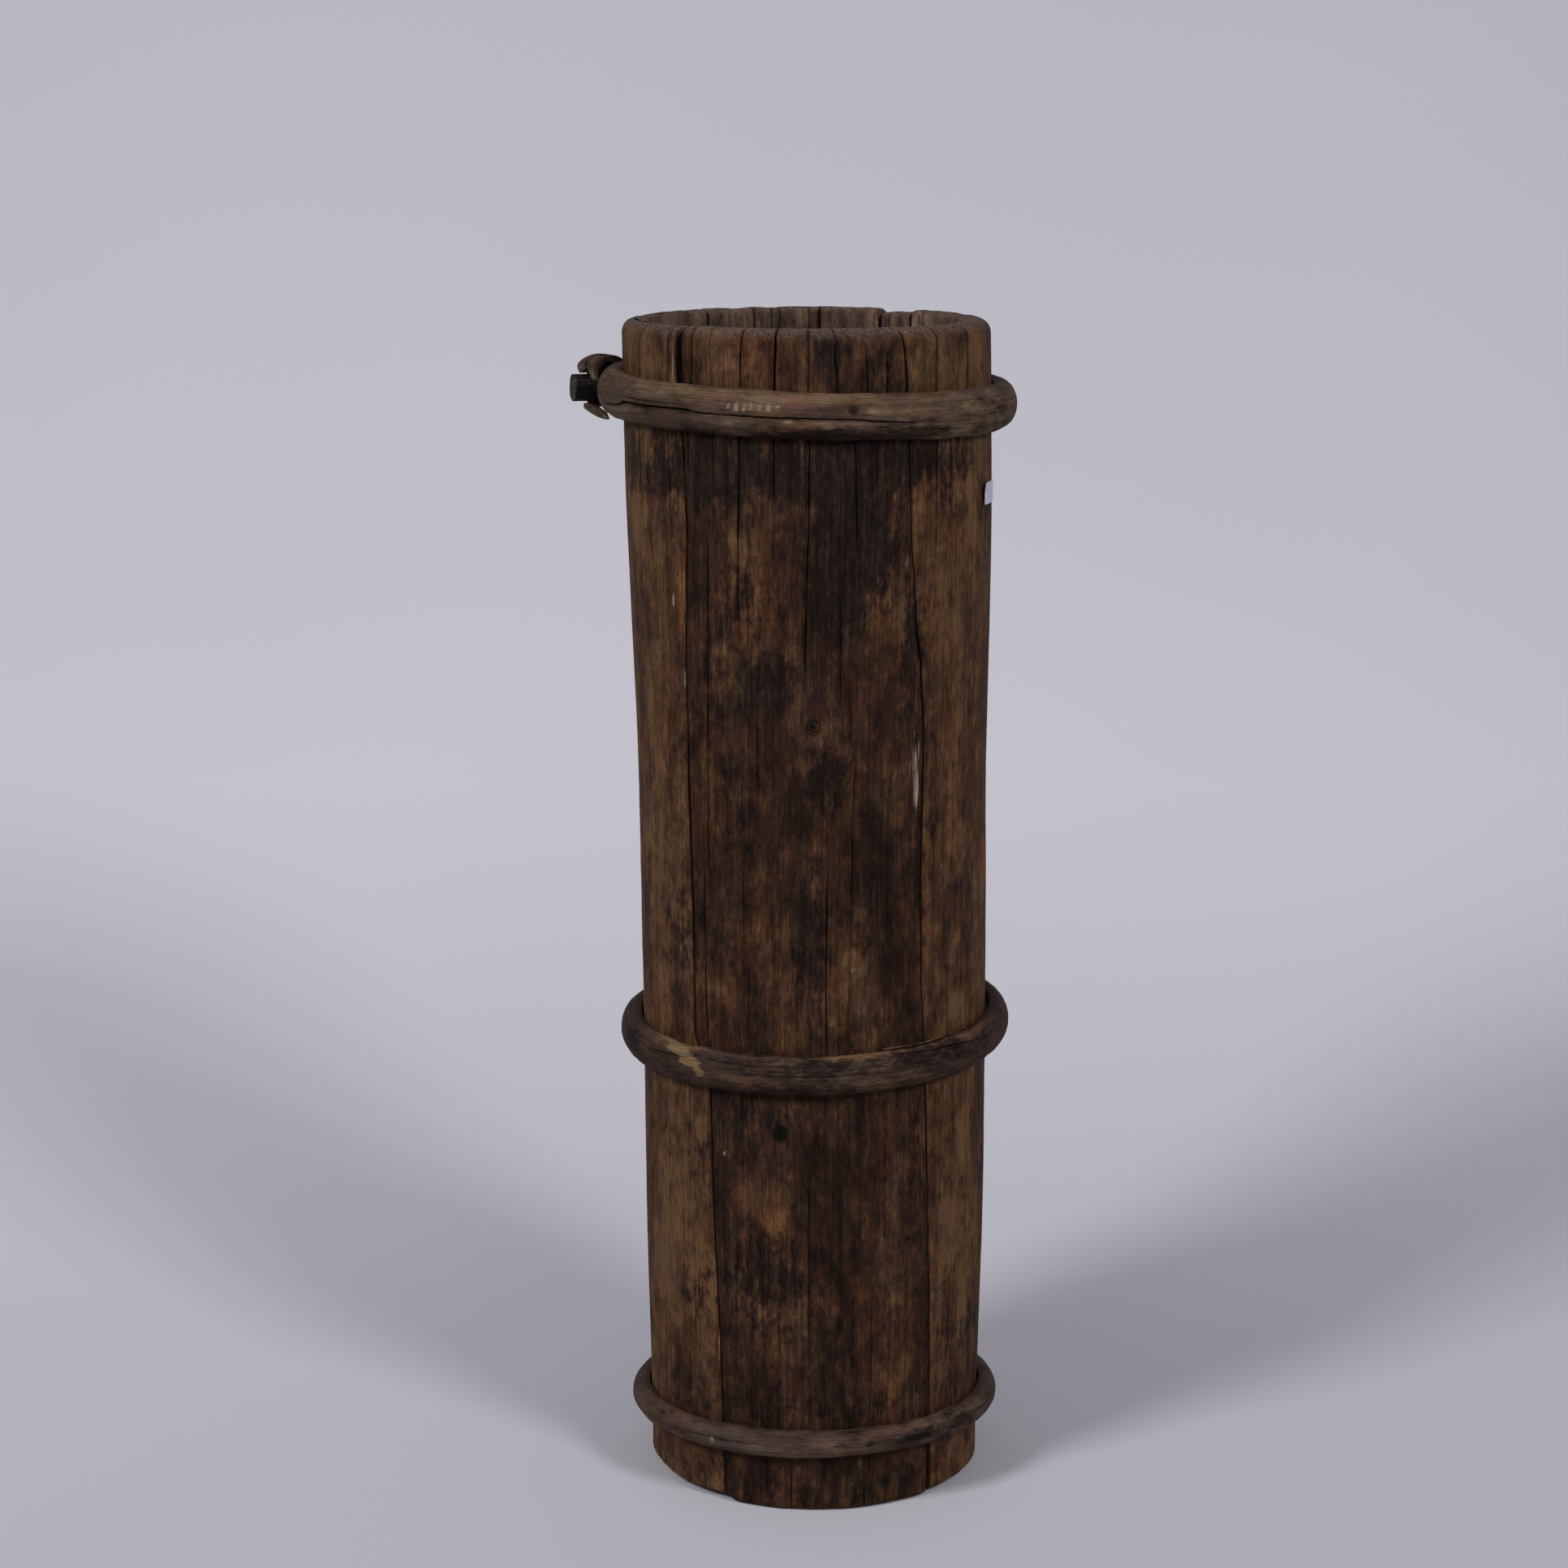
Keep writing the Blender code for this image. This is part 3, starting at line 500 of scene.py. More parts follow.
def crack_columns(cracks, base, left, right, rows_z):
    """Each crack with the column that it runs along, kept apart from those it passes."""
    chosen = []
    for way, width, depth in sorted(cracks, key=lambda c: c[0][len(c[0]) // 2][1]):
        low, high = way[0][0], way[-1][0]
        mid = (low + high) / 2
        at_left, at_right = np.interp(mid, rows_z, left), np.interp(mid, rows_z, right)
        share = (turn_to(path(way, mid), (at_left + at_right) / 2) - at_left) / (at_right - at_left)
        column = int(np.argmin(np.abs(base - share)))
        for other_low, other_high, other in chosen:
            if low < other_high + 0.03 and other_low < high + 0.03:
                column = max(column, other + ROOM_FOR_CRACK)
        column = min(max(column, ROOM_FOR_CRACK - 1), len(base) - ROOM_FOR_CRACK)
        chosen.append((low, high, column))
        yield column, way, width, depth


def opened(azimuth, z, side, base, cracks, left, right, radius, seed):
    """Moves columns onto the cracks, row by row, and returns the new azimuths, the depth and the painted
    shade in each crack.
    """
    made, depth, dark = azimuth.copy(), np.zeros_like(azimuth), np.zeros_like(azimuth)
    columns, last = np.arange(azimuth.shape[1]), azimuth.shape[1] - 1
    rising = np.argsort(z[: np.argmax(z) + 1])
    plan = list(crack_columns(cracks, base, left[rising], right[rising], z[rising]))
    for row in np.flatnonzero(side > 0.01):
        at, middle = z[row], (left[row] + right[row]) / 2
        pins = []
        for number, (column, way, width, deep) in enumerate(plan):
            low, high = way[0][0], way[-1][0]
            above_low = at - low if low > RUNS_OUT else math.inf
            below_high = high - at if high < BODY_HEIGHT - RUNS_OUT else math.inf
            inside = min(above_low, below_high)
            weight = float(1 - smooth(max(-inside, 0.0) / CRACK_FADE))
            if weight <= 0:
                continue
            own = seed + 3 * number
            jitter = 0.16 * float(noise(own, at / 0.011, 0.5)) + 0.16 * float(noise(own, at / 0.03, 2.5))
            taper = float(smooth(above_low / CRACK_TAPER) * smooth(below_high / CRACK_TAPER)) * side[row]
            swell = 0.75 + 0.35 * float(noise(seed + 5 * number, at / 0.014, 1.5))
            half = max(0.15, width * swell * (0.35 + 0.65 * taper) / 2)
            half = math.degrees(half * MM / radius[row])
            centre = float(turn_to(path(way, at), middle)) + jitter
            for shift in (-1, 0, 1):
                pins.append((column + shift, centre + shift * half - azimuth[row, column + shift], weight))
            beside = slice(column - 1, column + 2)
            depth[row, column] = max(depth[row, column], deep * MM * taper * swell)
            # Painted shade in the crack: its bottom column fully dark, its two lips a third as dark.
            dark[row, column] = max(dark[row, column], 1.0 * taper)
            dark[row, beside] = np.maximum(dark[row, beside], 0.32 * taper)
        if not pins:
            continue
        pins.sort()
        column, move, weight = np.array(pins).T
        whole = weight > 0.999
        before = np.interp(column, np.r_[0, column[whole], last], np.r_[0.0, move[whole], 0.0])
        moved = mix(before, move, weight)
        made[row] += np.interp(columns, np.r_[0, column, last], np.r_[0.0, moved, 0.0])
    return made, depth, dark


def joint_edge(joint, z, side):
    """The azimuth of the edge on one side of a joint, half the joint's gap away from its line."""
    line = path([(at, azimuth) for at, azimuth, gap in JOINTS[joint]], z)
    gap = path([(at, gap) for at, azimuth, gap in JOINTS[joint]], z)
    return line + side * np.degrees(gap * (MM / 2) / MEAN_RADIUS)


def wavering(seed, z):
    """A stave's edge isn't quite straight."""
    waver = 0.00018 * noise(seed, z / 0.013, 0.5) + 0.00012 * noise(seed + 1, z / 0.005, 0.5)
    return np.degrees(waver) / MEAN_RADIUS


def stave_edges(name, z, seed):
    left_joint, right_joint = STAVES[name][:2]
    left, right = joint_edge(left_joint, z, 1), joint_edge(right_joint, z, -1)
    right = np.where(right < left, right + 360.0, right)
    width = math.radians(float(np.mean(right - left))) * MEAN_RADIUS
    return left + wavering(seed + 50, z), right + wavering(seed + 52, z), width


def section_normals(r, z, groove):
    """The outward direction at each row of the wall's section. In the croze it is level."""
    slope_r, slope_z = np.gradient(r), np.gradient(z)
    length = np.hypot(slope_r, slope_z) + 1e-9
    return np.where(groove, -1.0, slope_z / length), np.where(groove, 0.0, -slope_r / length)


def stave_faces(rows, columns, rim_row, z):
    """Quads over the stave's grid, and triangles over its two edges."""
    faces = band_faces(rows, columns, close_rows=True).tolist()
    for column, flip in ((0, True), (columns - 1, False)):
        up_outside = [(rows - 1) * columns + column] + [i * columns + column for i in range(rim_row)]
        up_inside = [i * columns + column for i in range(rows - 2, rim_row - 1, -1)]
        heights = {point: z[point // columns] for point in up_outside + up_inside}
        side = zipped(up_outside, up_inside, heights)
        faces += [f[::-1] for f in side] if flip else side
    return faces


def build_stave(name):
    """One stave and where its knots are, in its own grain."""
    foot_short, rim_short, seed = STAVES[name][2:]
    r, z, outside, end = wall_loop().T
    radius = np.maximum(r, 0.05)
    left, right, width = stave_edges(name, z, seed)
    from_edge = [share / width for share in EDGE_COLUMNS]
    middle = np.linspace(from_edge[-1], 1 - from_edge[-1], round(width / COLUMN_WIDTH))
    base = np.r_[from_edge[:-1], middle, [1 - share for share in from_edge[-2::-1]]]
    azimuth = left[:, None] + (right - left)[:, None] * base
    azimuth, depth, dark = opened(azimuth, z, outside, base, CRACKS.get(name, ()), left, right, radius, seed)
    azimuth, inner_depth, inner_dark = opened(azimuth, z, 1 - outside, base, INNER_CRACKS.get(name, ()),
                                              left, right, radius, seed + 400)
    depth, dark = np.maximum(depth, inner_depth), np.maximum(dark, inner_dark)
    centre = float(np.mean(azimuth))

    along = np.cumsum(np.hypot(np.diff(r, prepend=r[0]), np.diff(z, prepend=z[0])))
    x, y = np.broadcast_arrays(((base - 0.5) * width)[None, :], along[:, None])
    groove = (z > CROZE_LOW - 0.002) & (z < CROZE_HIGH + 0.002) & (outside < 0.5)
    normal_r, normal_z = section_normals(r, z, groove)
    level, outer, flat = z[:, None], outside[:, None], (1 - end)[:, None]

    # tool marks and wear, in mm, then pits, splinters and cracks
    riven, chopped = layered(STAVE_LAYERS, seed, x, y), layered(RIM_LAYERS, seed, x, y)
    relief = np.where(outer > 0.5, riven - 0.50, 1.3 * riven - 0.2) * flat + (chopped - 0.45) * (1 - flat)
    relief *= MM * np.where(groove, 0.0, 1.0)[:, None]
    worn_edge = sum(np.interp(share * width, EDGE_COLUMNS, EDGE_WEAR_AND_SHADE) for share in (base, 1 - base))[None, :]
    relief -= 0.00075 * worn_edge * (0.7 + 0.5 * noise(seed + 6, y / 0.02, 0.5))
    dirt, worn, pits, torn = (stained(marks, azimuth, level, centre) * outer
                              for marks in (DIRT, WORN, PITS, SPLINTERED))
    shreds = 0.6 + 0.4 * noise(seed + 9, x / 0.0015, y / 0.03)
    relief -= 0.0012 * pits + 0.0006 * np.clip(torn, 0, 1) * shreds + depth

    if name == "stave_front":
        worn_corner = 3.0 * np.exp(-(((azimuth - left[:, None]) / 2.2) ** 2))
        short = 0.35 + 0.35 * noise(seed + 8, x / 0.009, 0.5) + worn_corner
    else:
        ragged = 0.35 * foot_short * noise(seed + 8, x / 0.022, 0.5)
        short = foot_short + ragged + 0.35 + 0.35 * noise(seed + 8, x / 0.006, 0.5)
    height = level + relief * normal_z[:, None] + MM * short * np.maximum(0, 1 - level / 0.025) ** 1.5
    low_rim = MM * (rim_short + 0.25 + 0.25 * noise(seed + 13, x / 0.018, 0.5))
    height -= low_rim * smooth((level - 0.62) / 0.038)
    far, angle = r[:, None] + relief * normal_r[:, None], np.radians(azimuth)
    east, north = AXIS[0] + far * np.sin(angle) + lean(height), AXIS[1] - far * np.cos(angle)
    points = np.stack((east, north, height), axis=-1)

    spiral = 12.0 * np.maximum(level - 0.3, 0.0)
    fibre = np.radians(azimuth - centre - spiral) * MEAN_RADIUS
    fibre += 0.0006 * noise(seed + 21, x / 0.05, y / 0.12)
    depth_in_wood = np.broadcast_to((r - MEAN_RADIUS)[:, None], x.shape)
    grain = np.stack((fibre + seed * 0.37, depth_in_wood, y + seed * 0.91), axis=-1)
    faces = stave_faces(*x.shape, int(np.argmax(outside < 0.6)), z)
    # Painted shade darkens the cracks, the pits and the stave joints.
    made = add_mesh("riven_" + name, points, faces, grain, dirt=dirt, worn=worn,
                    cavity=np.clip(dark + 0.9 * pits + 0.25 * worn_edge * flat, 0, 1),
                    torn=np.clip(torn, 0, 1.5), end=end[:, None], inside=1 - outer)
    places = []
    for at, up, size, dark_share in KNOTS.get(name, ()):
        row = int(np.argmin(np.abs(z[:OUTSIDE_ROWS] - up)))
        column = int(np.argmin(np.abs(azimuth[row] - turn_to(at, centre))))
        places.append((tuple(grain[row, column]), size * MM, dark_share))
    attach(made, "tub")
    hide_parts(name)
    return made, places


# ------------------------------------------------------------------ hoops and pegs
def hoop_height(hoop, azimuth):
    a = np.radians(azimuth)
    return hoop["z"] - hoop["rise_left"] * np.sin(a) + hoop["rise_front"] * np.cos(a)


def hoop_frame(hoop, azimuth, offset):
    """Points on the hoop's inner face, moved outwards by offset, and the outward directions there."""
    a, b = hoop["inner"]
    angle = np.radians(azimuth)
    out = np.stack((np.sin(angle), -np.cos(angle)), axis=-1)
    normal = out / np.array((a, b))
    normal /= np.linalg.norm(normal, axis=-1, keepdims=True)
    flat = out * np.array((a, b)) + normal * np.asarray(offset)[..., None]
    point = np.concatenate((flat, hoop_height(hoop, azimuth)[..., None]), axis=-1) + AXIS
    point[..., 0] += lean(hoop["z"])
    return point, np.concatenate((normal, np.zeros(normal.shape[:-1] + (1,))), axis=-1)


# A split sapling's round side, as (out, up) from its top edge to its bottom edge
CROWN = ((0.0, 0.46), (0.30, 0.50), (0.68, 0.40), (0.93, 0.20), (1.0, 0.0), (0.93, -0.20), (0.68, -0.40),
         (0.30, -0.50), (0.0, -0.46))
CROWN_POINTS, FLAT_POINTS = 33, 6


def hoop_path(hoop, along):
    """Along the sapling: azimuth, how far out its flat side lies, its thickness, how far its eye rises."""
    def beneath(angle):
        return mix(hoop["tip"], hoop["thick"], smooth(angle / (0.7 * hoop["lap"])))

    azimuth = hoop["lap_end"] - hoop["lap"] + along
    over = along - 360.0
    outer_lap = over > -LAP_RUN_IN_DEG
    run_in = smooth((over + LAP_RUN_IN_DEG) / LAP_RUN_IN_DEG)
    offset = np.where(outer_lap, (beneath(over) + LAP_GAP) * run_in, 0.0)
    to_end = mix(hoop["thick"], hoop["end_thick"], smooth(over / hoop["lap"]))
    thick = np.where(outer_lap, to_end, beneath(along))
    eye = hoop["eye_rise"] * np.exp(-(((azimuth - 360.0 - hoop["peg_azimuth"]) / EYE_HALF_WIDTH_DEG) ** 2))
    return azimuth, offset, thick, np.where(outer_lap, eye, 0.0)


def split_open(label, azimuth, centre_z, crown, out, up):
    """Pulls the nearest points of the crown onto each split's line. Returns the depth and the painted shade
    in each split.
    """
    height, seed = HOOPS[label]["height"], HOOPS[label]["seed"]
    depth, dark = np.zeros_like(out), np.zeros_like(out)
    columns, on_crown = np.arange(out.shape[1]), slice(0, len(crown))
    for number, (way, width, deep) in enumerate(SPLITS[label]):
        turn = np.where(azimuth > way[-1][0] + 8, azimuth - 360.0, azimuth)
        taper = smooth((turn - way[0][0]) / SPLIT_TAPER_DEG) * smooth((way[-1][0] - turn) / SPLIT_TAPER_DEG)
        line = (path(way, turn) - centre_z) / height
        line += 0.012 * noise(seed + 60 + number, turn / 2.2, 0.5)
        line += 0.010 * noise(seed + 70 + number, turn / 7.0, 0.5)
        nearest = np.argmin(np.abs(crown[:, 1] - float(np.mean(line[taper > 0.5]))))
        column = int(np.clip(nearest, 4, len(crown) - 5))
        swell = 0.8 + 0.3 * noise(seed + 80 + number, turn / 3.0, 0.5)
        half = width / 2 * (0.4 + 0.6 * taper) * swell * MM / height
        pins = np.array([0, column - 6, column - 1, column, column + 1, column + 6, len(columns) - 1])
        beside = slice(column - 1, column + 2)
        for row in np.flatnonzero(taper > 0):
            target = np.array([line[row] + half[row], line[row], line[row] - half[row]])
            shift = (target - up[row, beside]) * smooth(taper[row] * 4)
            moved = np.interp(columns, pins, np.r_[0, 0, shift, 0, 0])
            up[row] += moved
            round_side = np.interp(-up[row, on_crown], -crown[1:-1, 1], crown[1:-1, 0])
            out[row, on_crown] = np.where(np.abs(moved[on_crown]) > 0, round_side, out[row, on_crown])
            depth[row, column] = deep * MM * taper[row]
            dark[row, beside] = np.maximum(dark[row, beside], taper[row] * np.array((0.35, 1, 0.35)))
    return depth, dark


# Azimuth, height, half-width in degrees, half-height, depth in mm
TOP_HOOP_NICKS = ((12.3, 0.6180, 0.8, 0.0014, 0.9), (40.0, 0.6060, 1.1, 0.0009, 1.0))


def top_hoop_scars(plain, up, z):
    """What only the top hoop has, in mm: a raised lobe along the front, a groove above it and two nicks."""
    front = smooth((plain + 80) / 20) * (1 - smooth((plain - 10) / 20))
    lobe, groove = np.exp(-(((up + 0.22) / 0.12) ** 2)), np.exp(-(((up + 0.06) / 0.055) ** 2))
    relief = (0.55 * lobe - 0.7 * groove) * front
    for at, height, half_width, tall, deep in TOP_HOOP_NICKS:
        relief -= deep * np.exp(-((plain - at) / half_width) ** 2 - ((z - height) / tall) ** 2)
    return relief


def marked(marks, azimuth, z):
    """How strongly a list of a hoop's marks covers each point."""
    return sum(strength * np.exp(-0.9 * ((turn_to(azimuth, at) - at) / half_width) ** 2
                                 - 0.9 * ((z - height) / half_height) ** 2)
               for at, height, half_width, half_height, strength in marks)


def build_hoop(label):
    hoop = HOOPS[label]
    seed, sweep, tall = hoop["seed"], 360.0 + hoop["lap"], hoop["height"]
    rows = round(sweep / HOOP_STEP_DEG)
    along = np.linspace(0, sweep, rows)
    azimuth, offset, thick, eye = hoop_path(hoop, along)
    centre_z = hoop_height(hoop, azimuth)

    crown = curve_through(CROWN, CROWN_POINTS)
    flat_side = [(0.0, up) for up in np.linspace(-0.46, 0.46, FLAT_POINTS + 2)[1:-1]]
    outline = np.vstack((crown, flat_side))
    out, up = (np.repeat(outline[None, :, i], rows, axis=0) for i in (0, 1))
    on_crown = np.arange(len(outline))[None, :] < len(crown)
    depth, dark = split_open(label, azimuth, centre_z, crown, out, up)

    z = centre_z[:, None] + up * tall
    steps = np.diff(outline, axis=0, prepend=((0.0, 0.46),)) * (hoop["thick"], tall)
    around, length = np.cumsum(np.hypot(*steps.T)), np.radians(along) * MEAN_RADIUS
    x, y = np.broadcast_arrays(around[None, :], length[:, None])
    plain = np.where(azimuth > 180.0, azimuth - 360.0, azimuth)[:, None]
    dirt, worn, torn = (marked(table[label], plain, z) for table in (HOOP_DIRT, HOOP_WORN, HOOP_TORN))

    # bark scars and wear, in mm
    relief = layered(HOOP_LAYERS, seed, x, y) + 0.16 * noise(seed + 3, 0.5, y / 0.055) - 0.45
    ragged = smooth(2.2 * torn + 0.8 * noise(seed + 4, x / 0.0016, y / 0.012) - 0.55)
    relief -= 0.7 * ragged * (1 + 0.5 * noise(seed + 5, x / 0.0014, y / 0.02))
    highest = -0.02
    if label == "top":
        relief += top_hoop_scars(plain, up, z)
        highest += 0.3 * smooth((plain - hoop["lap_end"]) / 6.0)
    amount = (MM * np.minimum(relief, highest) - depth) * on_crown * np.minimum(1.0, thick[:, None] / 0.006)

    # the flat side fills most of the gap to the staves
    reach, _ = hoop_frame(hoop, azimuth, 0.0)
    radius = np.hypot(reach[:, 0] - AXIS[0] - lean(hoop["z"]), reach[:, 1] - AXIS[1])
    slack = radius - outer_radius(centre_z + tall / 2)
    fill = np.clip(slack - 0.0005, 0.0, 0.0035) * (1 - np.clip(offset / 0.004, 0, 1))
    outwards = offset[:, None] + thick[:, None] * out - fill[:, None] * (1 - np.clip(out, 0, 1)) ** 2
    point, normal = hoop_frame(hoop, azimuth[:, None] + 0 * out, outwards)
    slope_out, slope_up = np.gradient(out * thick[:, None], axis=1), np.gradient(up * tall, axis=1)
    size = np.hypot(slope_out, slope_up) + 1e-9
    points = point + normal * (amount * -slope_up / size)[..., None]
    points[..., 2] = z + amount * slope_out / size + eye[:, None] * np.maximum(up, 0) / 0.5
    edge, side = np.sign(up), smooth(np.abs(up) / 0.4)
    waver = 0.0004 * noise(seed + 11, y / 0.018, edge) + 0.0002 * noise(seed + 12, y / 0.005, edge)
    points[..., 2] += (waver - 0.0001 * edge) * side
    if label == "top":
        tear_eye(points, up, azimuth - 360.0, seed)

    columns, to_end = len(outline), along[:, None] - sweep
    faces = band_faces(rows, columns, close_columns=True)[:, ::-1].tolist()
    faces += end_faces(columns, len(crown), 0)
    faces += [f[::-1] for f in end_faces(columns, len(crown), (rows - 1) * columns)]
    grain = np.stack((x + seed * 0.37, out * thick[:, None], y + seed * 0.91), axis=-1)
    # Painted shade darkens the splits, the end of the outer lap and the flat side against the staves.
    cavity = np.clip(dark + 0.4 * smooth((to_end + 1.2) / 1.2) + 0.5 * ~on_crown, 0, 1)
    made = add_mesh("sapling_hoop_" + label, points, faces, grain, dirt=dirt, worn=worn, cavity=cavity,
                    torn=ragged * np.clip(torn * 1.5, 0, 1), end=smooth((to_end + 0.8) / 0.6), inside=0.0)
    drill(made, hoop)
    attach(made, label + "_hoop")
    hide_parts("hoop_" + label)
    return made


def end_faces(columns, crown_count, first):
    """Triangles across a hoop's end, between its round side and its flat side."""
    crown = [first + i for i in range(crown_count)]
    flat = [first] + [first + i for i in range(columns - 1, crown_count - 1, -1)] + [crown[-1]]
    share = {point: i / (len(chain) - 1) for chain in (crown, flat) for i, point in enumerate(chain)}
    return zipped(crown, flat, share)


def tear_eye(points, up, azimuth, seed):
    """Cuts the top hoop's outer end back raggedly, where it has torn open round its peg."""
    hoop, start = HOOPS["top"], -103.0
    upper, lower = smooth((up - 0.12) / 0.22), smooth((-up - 0.20) / 0.18)
    last = -99.5 + 1.5 * upper + 3.5 * lower + 0.6 * noise(seed + 20, up / 0.05, 0.5)
    centre = (AXIS[0] + float(lean(hoop["z"])), AXIS[1])
    for row in np.flatnonzero(azimuth > start):
        share = (azimuth[row] - start) / (hoop["lap_end"] - start)
        turn = np.radians(start + share * (last[row] - start) - azimuth[row])
        x, y = (points[row, :, :2] - centre).T
        points[row, :, 0] = centre[0] + x * np.cos(turn) - y * np.sin(turn)
        points[row, :, 1] = centre[1] + x * np.sin(turn) + y * np.cos(turn)


# The strands that the top hoop's thick end has torn into, along their length: azimuth, how far out, height,
# half-width and half-height in mm
STRANDS = {
    "over": ((-118.0, 0.004, 0.6262, 3.4, 3.2), (-111.0, 0.0075, 0.63, 4.2, 3.8),
             (-104.5, 0.0108, 0.6328, 4.8, 4.2), (-99.0, 0.0136, 0.6334, 5.0, 4.0),
             (-94.8, 0.0158, 0.6326, 4.6, 3.6), (-92.0, 0.0176, 0.6314, 3.6, 2.9),
             (-90.6, 0.019, 0.6302, 1.6, 1.6)),
    "fold": ((-106.0, 0.007, 0.631, 3.0, 2.4), (-100.0, 0.0094, 0.634, 3.6, 2.6),
             (-94.5, 0.0106, 0.6342, 4.2, 3.0), (-90.4, 0.0112, 0.632, 3.9, 3.2),
             (-88.0, 0.0112, 0.6288, 2.7, 2.8), (-86.9, 0.0108, 0.626, 1.0, 1.0)),
    "under": ((-96.5, 0.0184, 0.61, 1.0, 0.9), (-94.0, 0.0164, 0.6098, 2.1, 1.7),
              (-90.5, 0.0134, 0.6094, 2.8, 2.0), (-86.5, 0.0104, 0.6086, 2.9, 2.1),
              (-82.0, 0.0078, 0.6074, 2.6, 1.9), (-77.0, 0.006, 0.606, 1.0, 0.8)),
}


STRAND_ROWS, STRAND_COLUMNS = 64, 30
# Furrows along a strand: where round it, half-width in radians, depth as a share of its thickness
FURROWS = ((0.5 * math.pi + 0.5, 0.16, 0.16), (1.15 * math.pi, 0.14, 0.20))


def build_strand(label):
    """One of the strands that the top hoop's thick end has torn into round its peg."""
    seed = 57 + len(label) % 3
    line = curve_through(STRANDS[label], STRAND_ROWS)
    centre, normal = hoop_frame(HOOPS["top"], line[:, 0], line[:, 1])
    centre[:, 2] = line[:, 2]
    forward = np.gradient(centre, axis=0)
    forward /= np.linalg.norm(forward, axis=1, keepdims=True)
    upward = np.cross(normal, forward)
    upward /= np.linalg.norm(upward, axis=1, keepdims=True)
    upward *= np.sign(upward[:, 2:3])
    angle = np.linspace(0, 2 * math.pi, STRAND_COLUMNS, endpoint=False)
    length = np.cumsum(np.linalg.norm(np.diff(centre, axis=0, prepend=centre[:1]), axis=1))[:, None]
    x, y = np.broadcast_arrays(angle[None, :] * 0.0035, length)
    tip = smooth((length - length[-1] + 0.006) / 0.006)

    swell = 1 + 0.10 * noise(seed, x / 0.004, y / 0.012) + 0.06 * noise(seed + 1, x / 0.0016, y / 0.010)
    furrow = sum(deep * np.exp(-(((angle - at) / width) ** 2)) for at, width, deep in FURROWS)[None, :]
    squared = 1 / np.power(np.abs(np.cos(angle)) ** 3 + np.abs(np.sin(angle)) ** 3, 1 / 3)
    out, up = ((swell - furrow) * squared * turn(angle) for turn in (np.cos, np.sin))
    points = centre[:, None, :] + normal[:, None, :] * (line[:, 3:4] * MM * out)[..., None]
    points += upward[:, None, :] * (line[:, 4:5] * MM * up)[..., None]
    points += forward[:, None, :] * (0.0016 * tip * 0.9 * noise(seed + 3, x / 0.0016, 0.5))[..., None]
    points = np.vstack((points.reshape(-1, 3), centre[0], centre[-1] + 0.0004 * forward[-1]))

    def capped(values, at_tip):
        """Values over the strand, then at the two points that close its ends."""
        return np.r_[np.broadcast_to(values, x.shape).ravel(), 0.0, at_tip]

    start = 0.2 * seed
    grain = np.stack((x + start, 0 * x, y + seed * 0.91), axis=-1).reshape(-1, 3)
    grain = np.vstack((grain, (start, 0, 0), (start, 0, 0.1)))
    # Painted light: the strand's upper side is lightened, most along its top; painted shade darkens its
    # furrows.
    made = add_mesh("torn_strand_" + label, points, tube_faces(*x.shape), grain, dirt=capped(0.25, 0.3),
                    worn=capped(0.3 * np.clip(np.sin(angle), 0, 1), 0.0),
                    cavity=capped(np.clip(4 * furrow, 0, 0.8), 0.2), torn=capped(0.45 * tip, 0.6),
                    end=capped(smooth((tip - 0.85) / 0.15), 1.0), inside=0.0)
    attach(made, "top_hoop")
    return made


def turned(profile, steps):
    """Points and faces turned about Z from an (r, z) profile that runs from the axis to the axis."""
    ring = np.array(profile)
    angle = np.linspace(0, 2 * math.pi, steps, endpoint=False)
    radius, height = ring[1:-1, None, 0], ring[1:-1, None, 1]
    body = np.stack(np.broadcast_arrays(radius * np.cos(angle), radius * np.sin(angle), height), axis=-1)
    points = np.vstack((body.reshape(-1, 3), (0, 0, ring[0, 1]), (0, 0, ring[-1, 1])))
    return points, [face[::-1] for face in tube_faces(len(ring) - 2, steps)]


def peg_place(hoop):
    """Where a peg's own Z axis starts, on the hoop's flat side, and the turn that points it outwards."""
    point, normal = hoop_frame(hoop, np.array(hoop["peg_azimuth"]), 0.0)
    swing = math.radians(hoop["peg_swing"])
    direction = Vector((normal[0] * math.cos(swing) - normal[1] * math.sin(swing),
                        normal[0] * math.sin(swing) + normal[1] * math.cos(swing), 0.0))
    return Vector(point), direction.to_track_quat("Z", "Y").to_euler()


def drill(made, hoop):
    """Cuts the peg's hole through a hoop's lap."""
    shank, head = hoop["shank_radius"] + PEG_CLEARANCE, hoop["head_radius"] + 2 * PEG_CLEARANCE
    seat, beyond, behind = hoop["head_seat"] - 2 * PEG_CLEARANCE, 0.05, -0.02
    profile = ((0, beyond), (head, beyond), (head, seat), (shank, seat), (shank, behind), (0, behind))
    points, faces = turned(profile, 40)
    mesh = bpy.data.meshes.new("cutter")
    mesh.from_pydata(points, [], faces)
    cutter = link("cutter", mesh)
    cutter.location, cutter.rotation_euler = peg_place(hoop)
    boolean = made.modifiers.new("hole", "BOOLEAN")
    boolean.operation, boolean.solver, boolean.object = "DIFFERENCE", "EXACT", cutter
    bpy.context.view_layer.update()
    drilled = bpy.data.meshes.new_from_object(made.evaluated_get(bpy.context.evaluated_depsgraph_get()))
    made.modifiers.clear()
    made.data = drilled
    made.data.shade_smooth()
    made.data.set_sharp_from_angle(angle=math.radians(SHARP_EDGE_DEG))
    bpy.data.objects.remove(cutter)


# How far each peg's end slants across its width
SLANT = {"top": 0.0016, "middle": 0.0004, "bottom": 0.0004}
# Directions of the knife's flats round a peg
KNIFE_CUTS_DEG = (0, 38, 83, 120, 166, 211, 248, 297, 331)
PEG_COLUMNS = 72


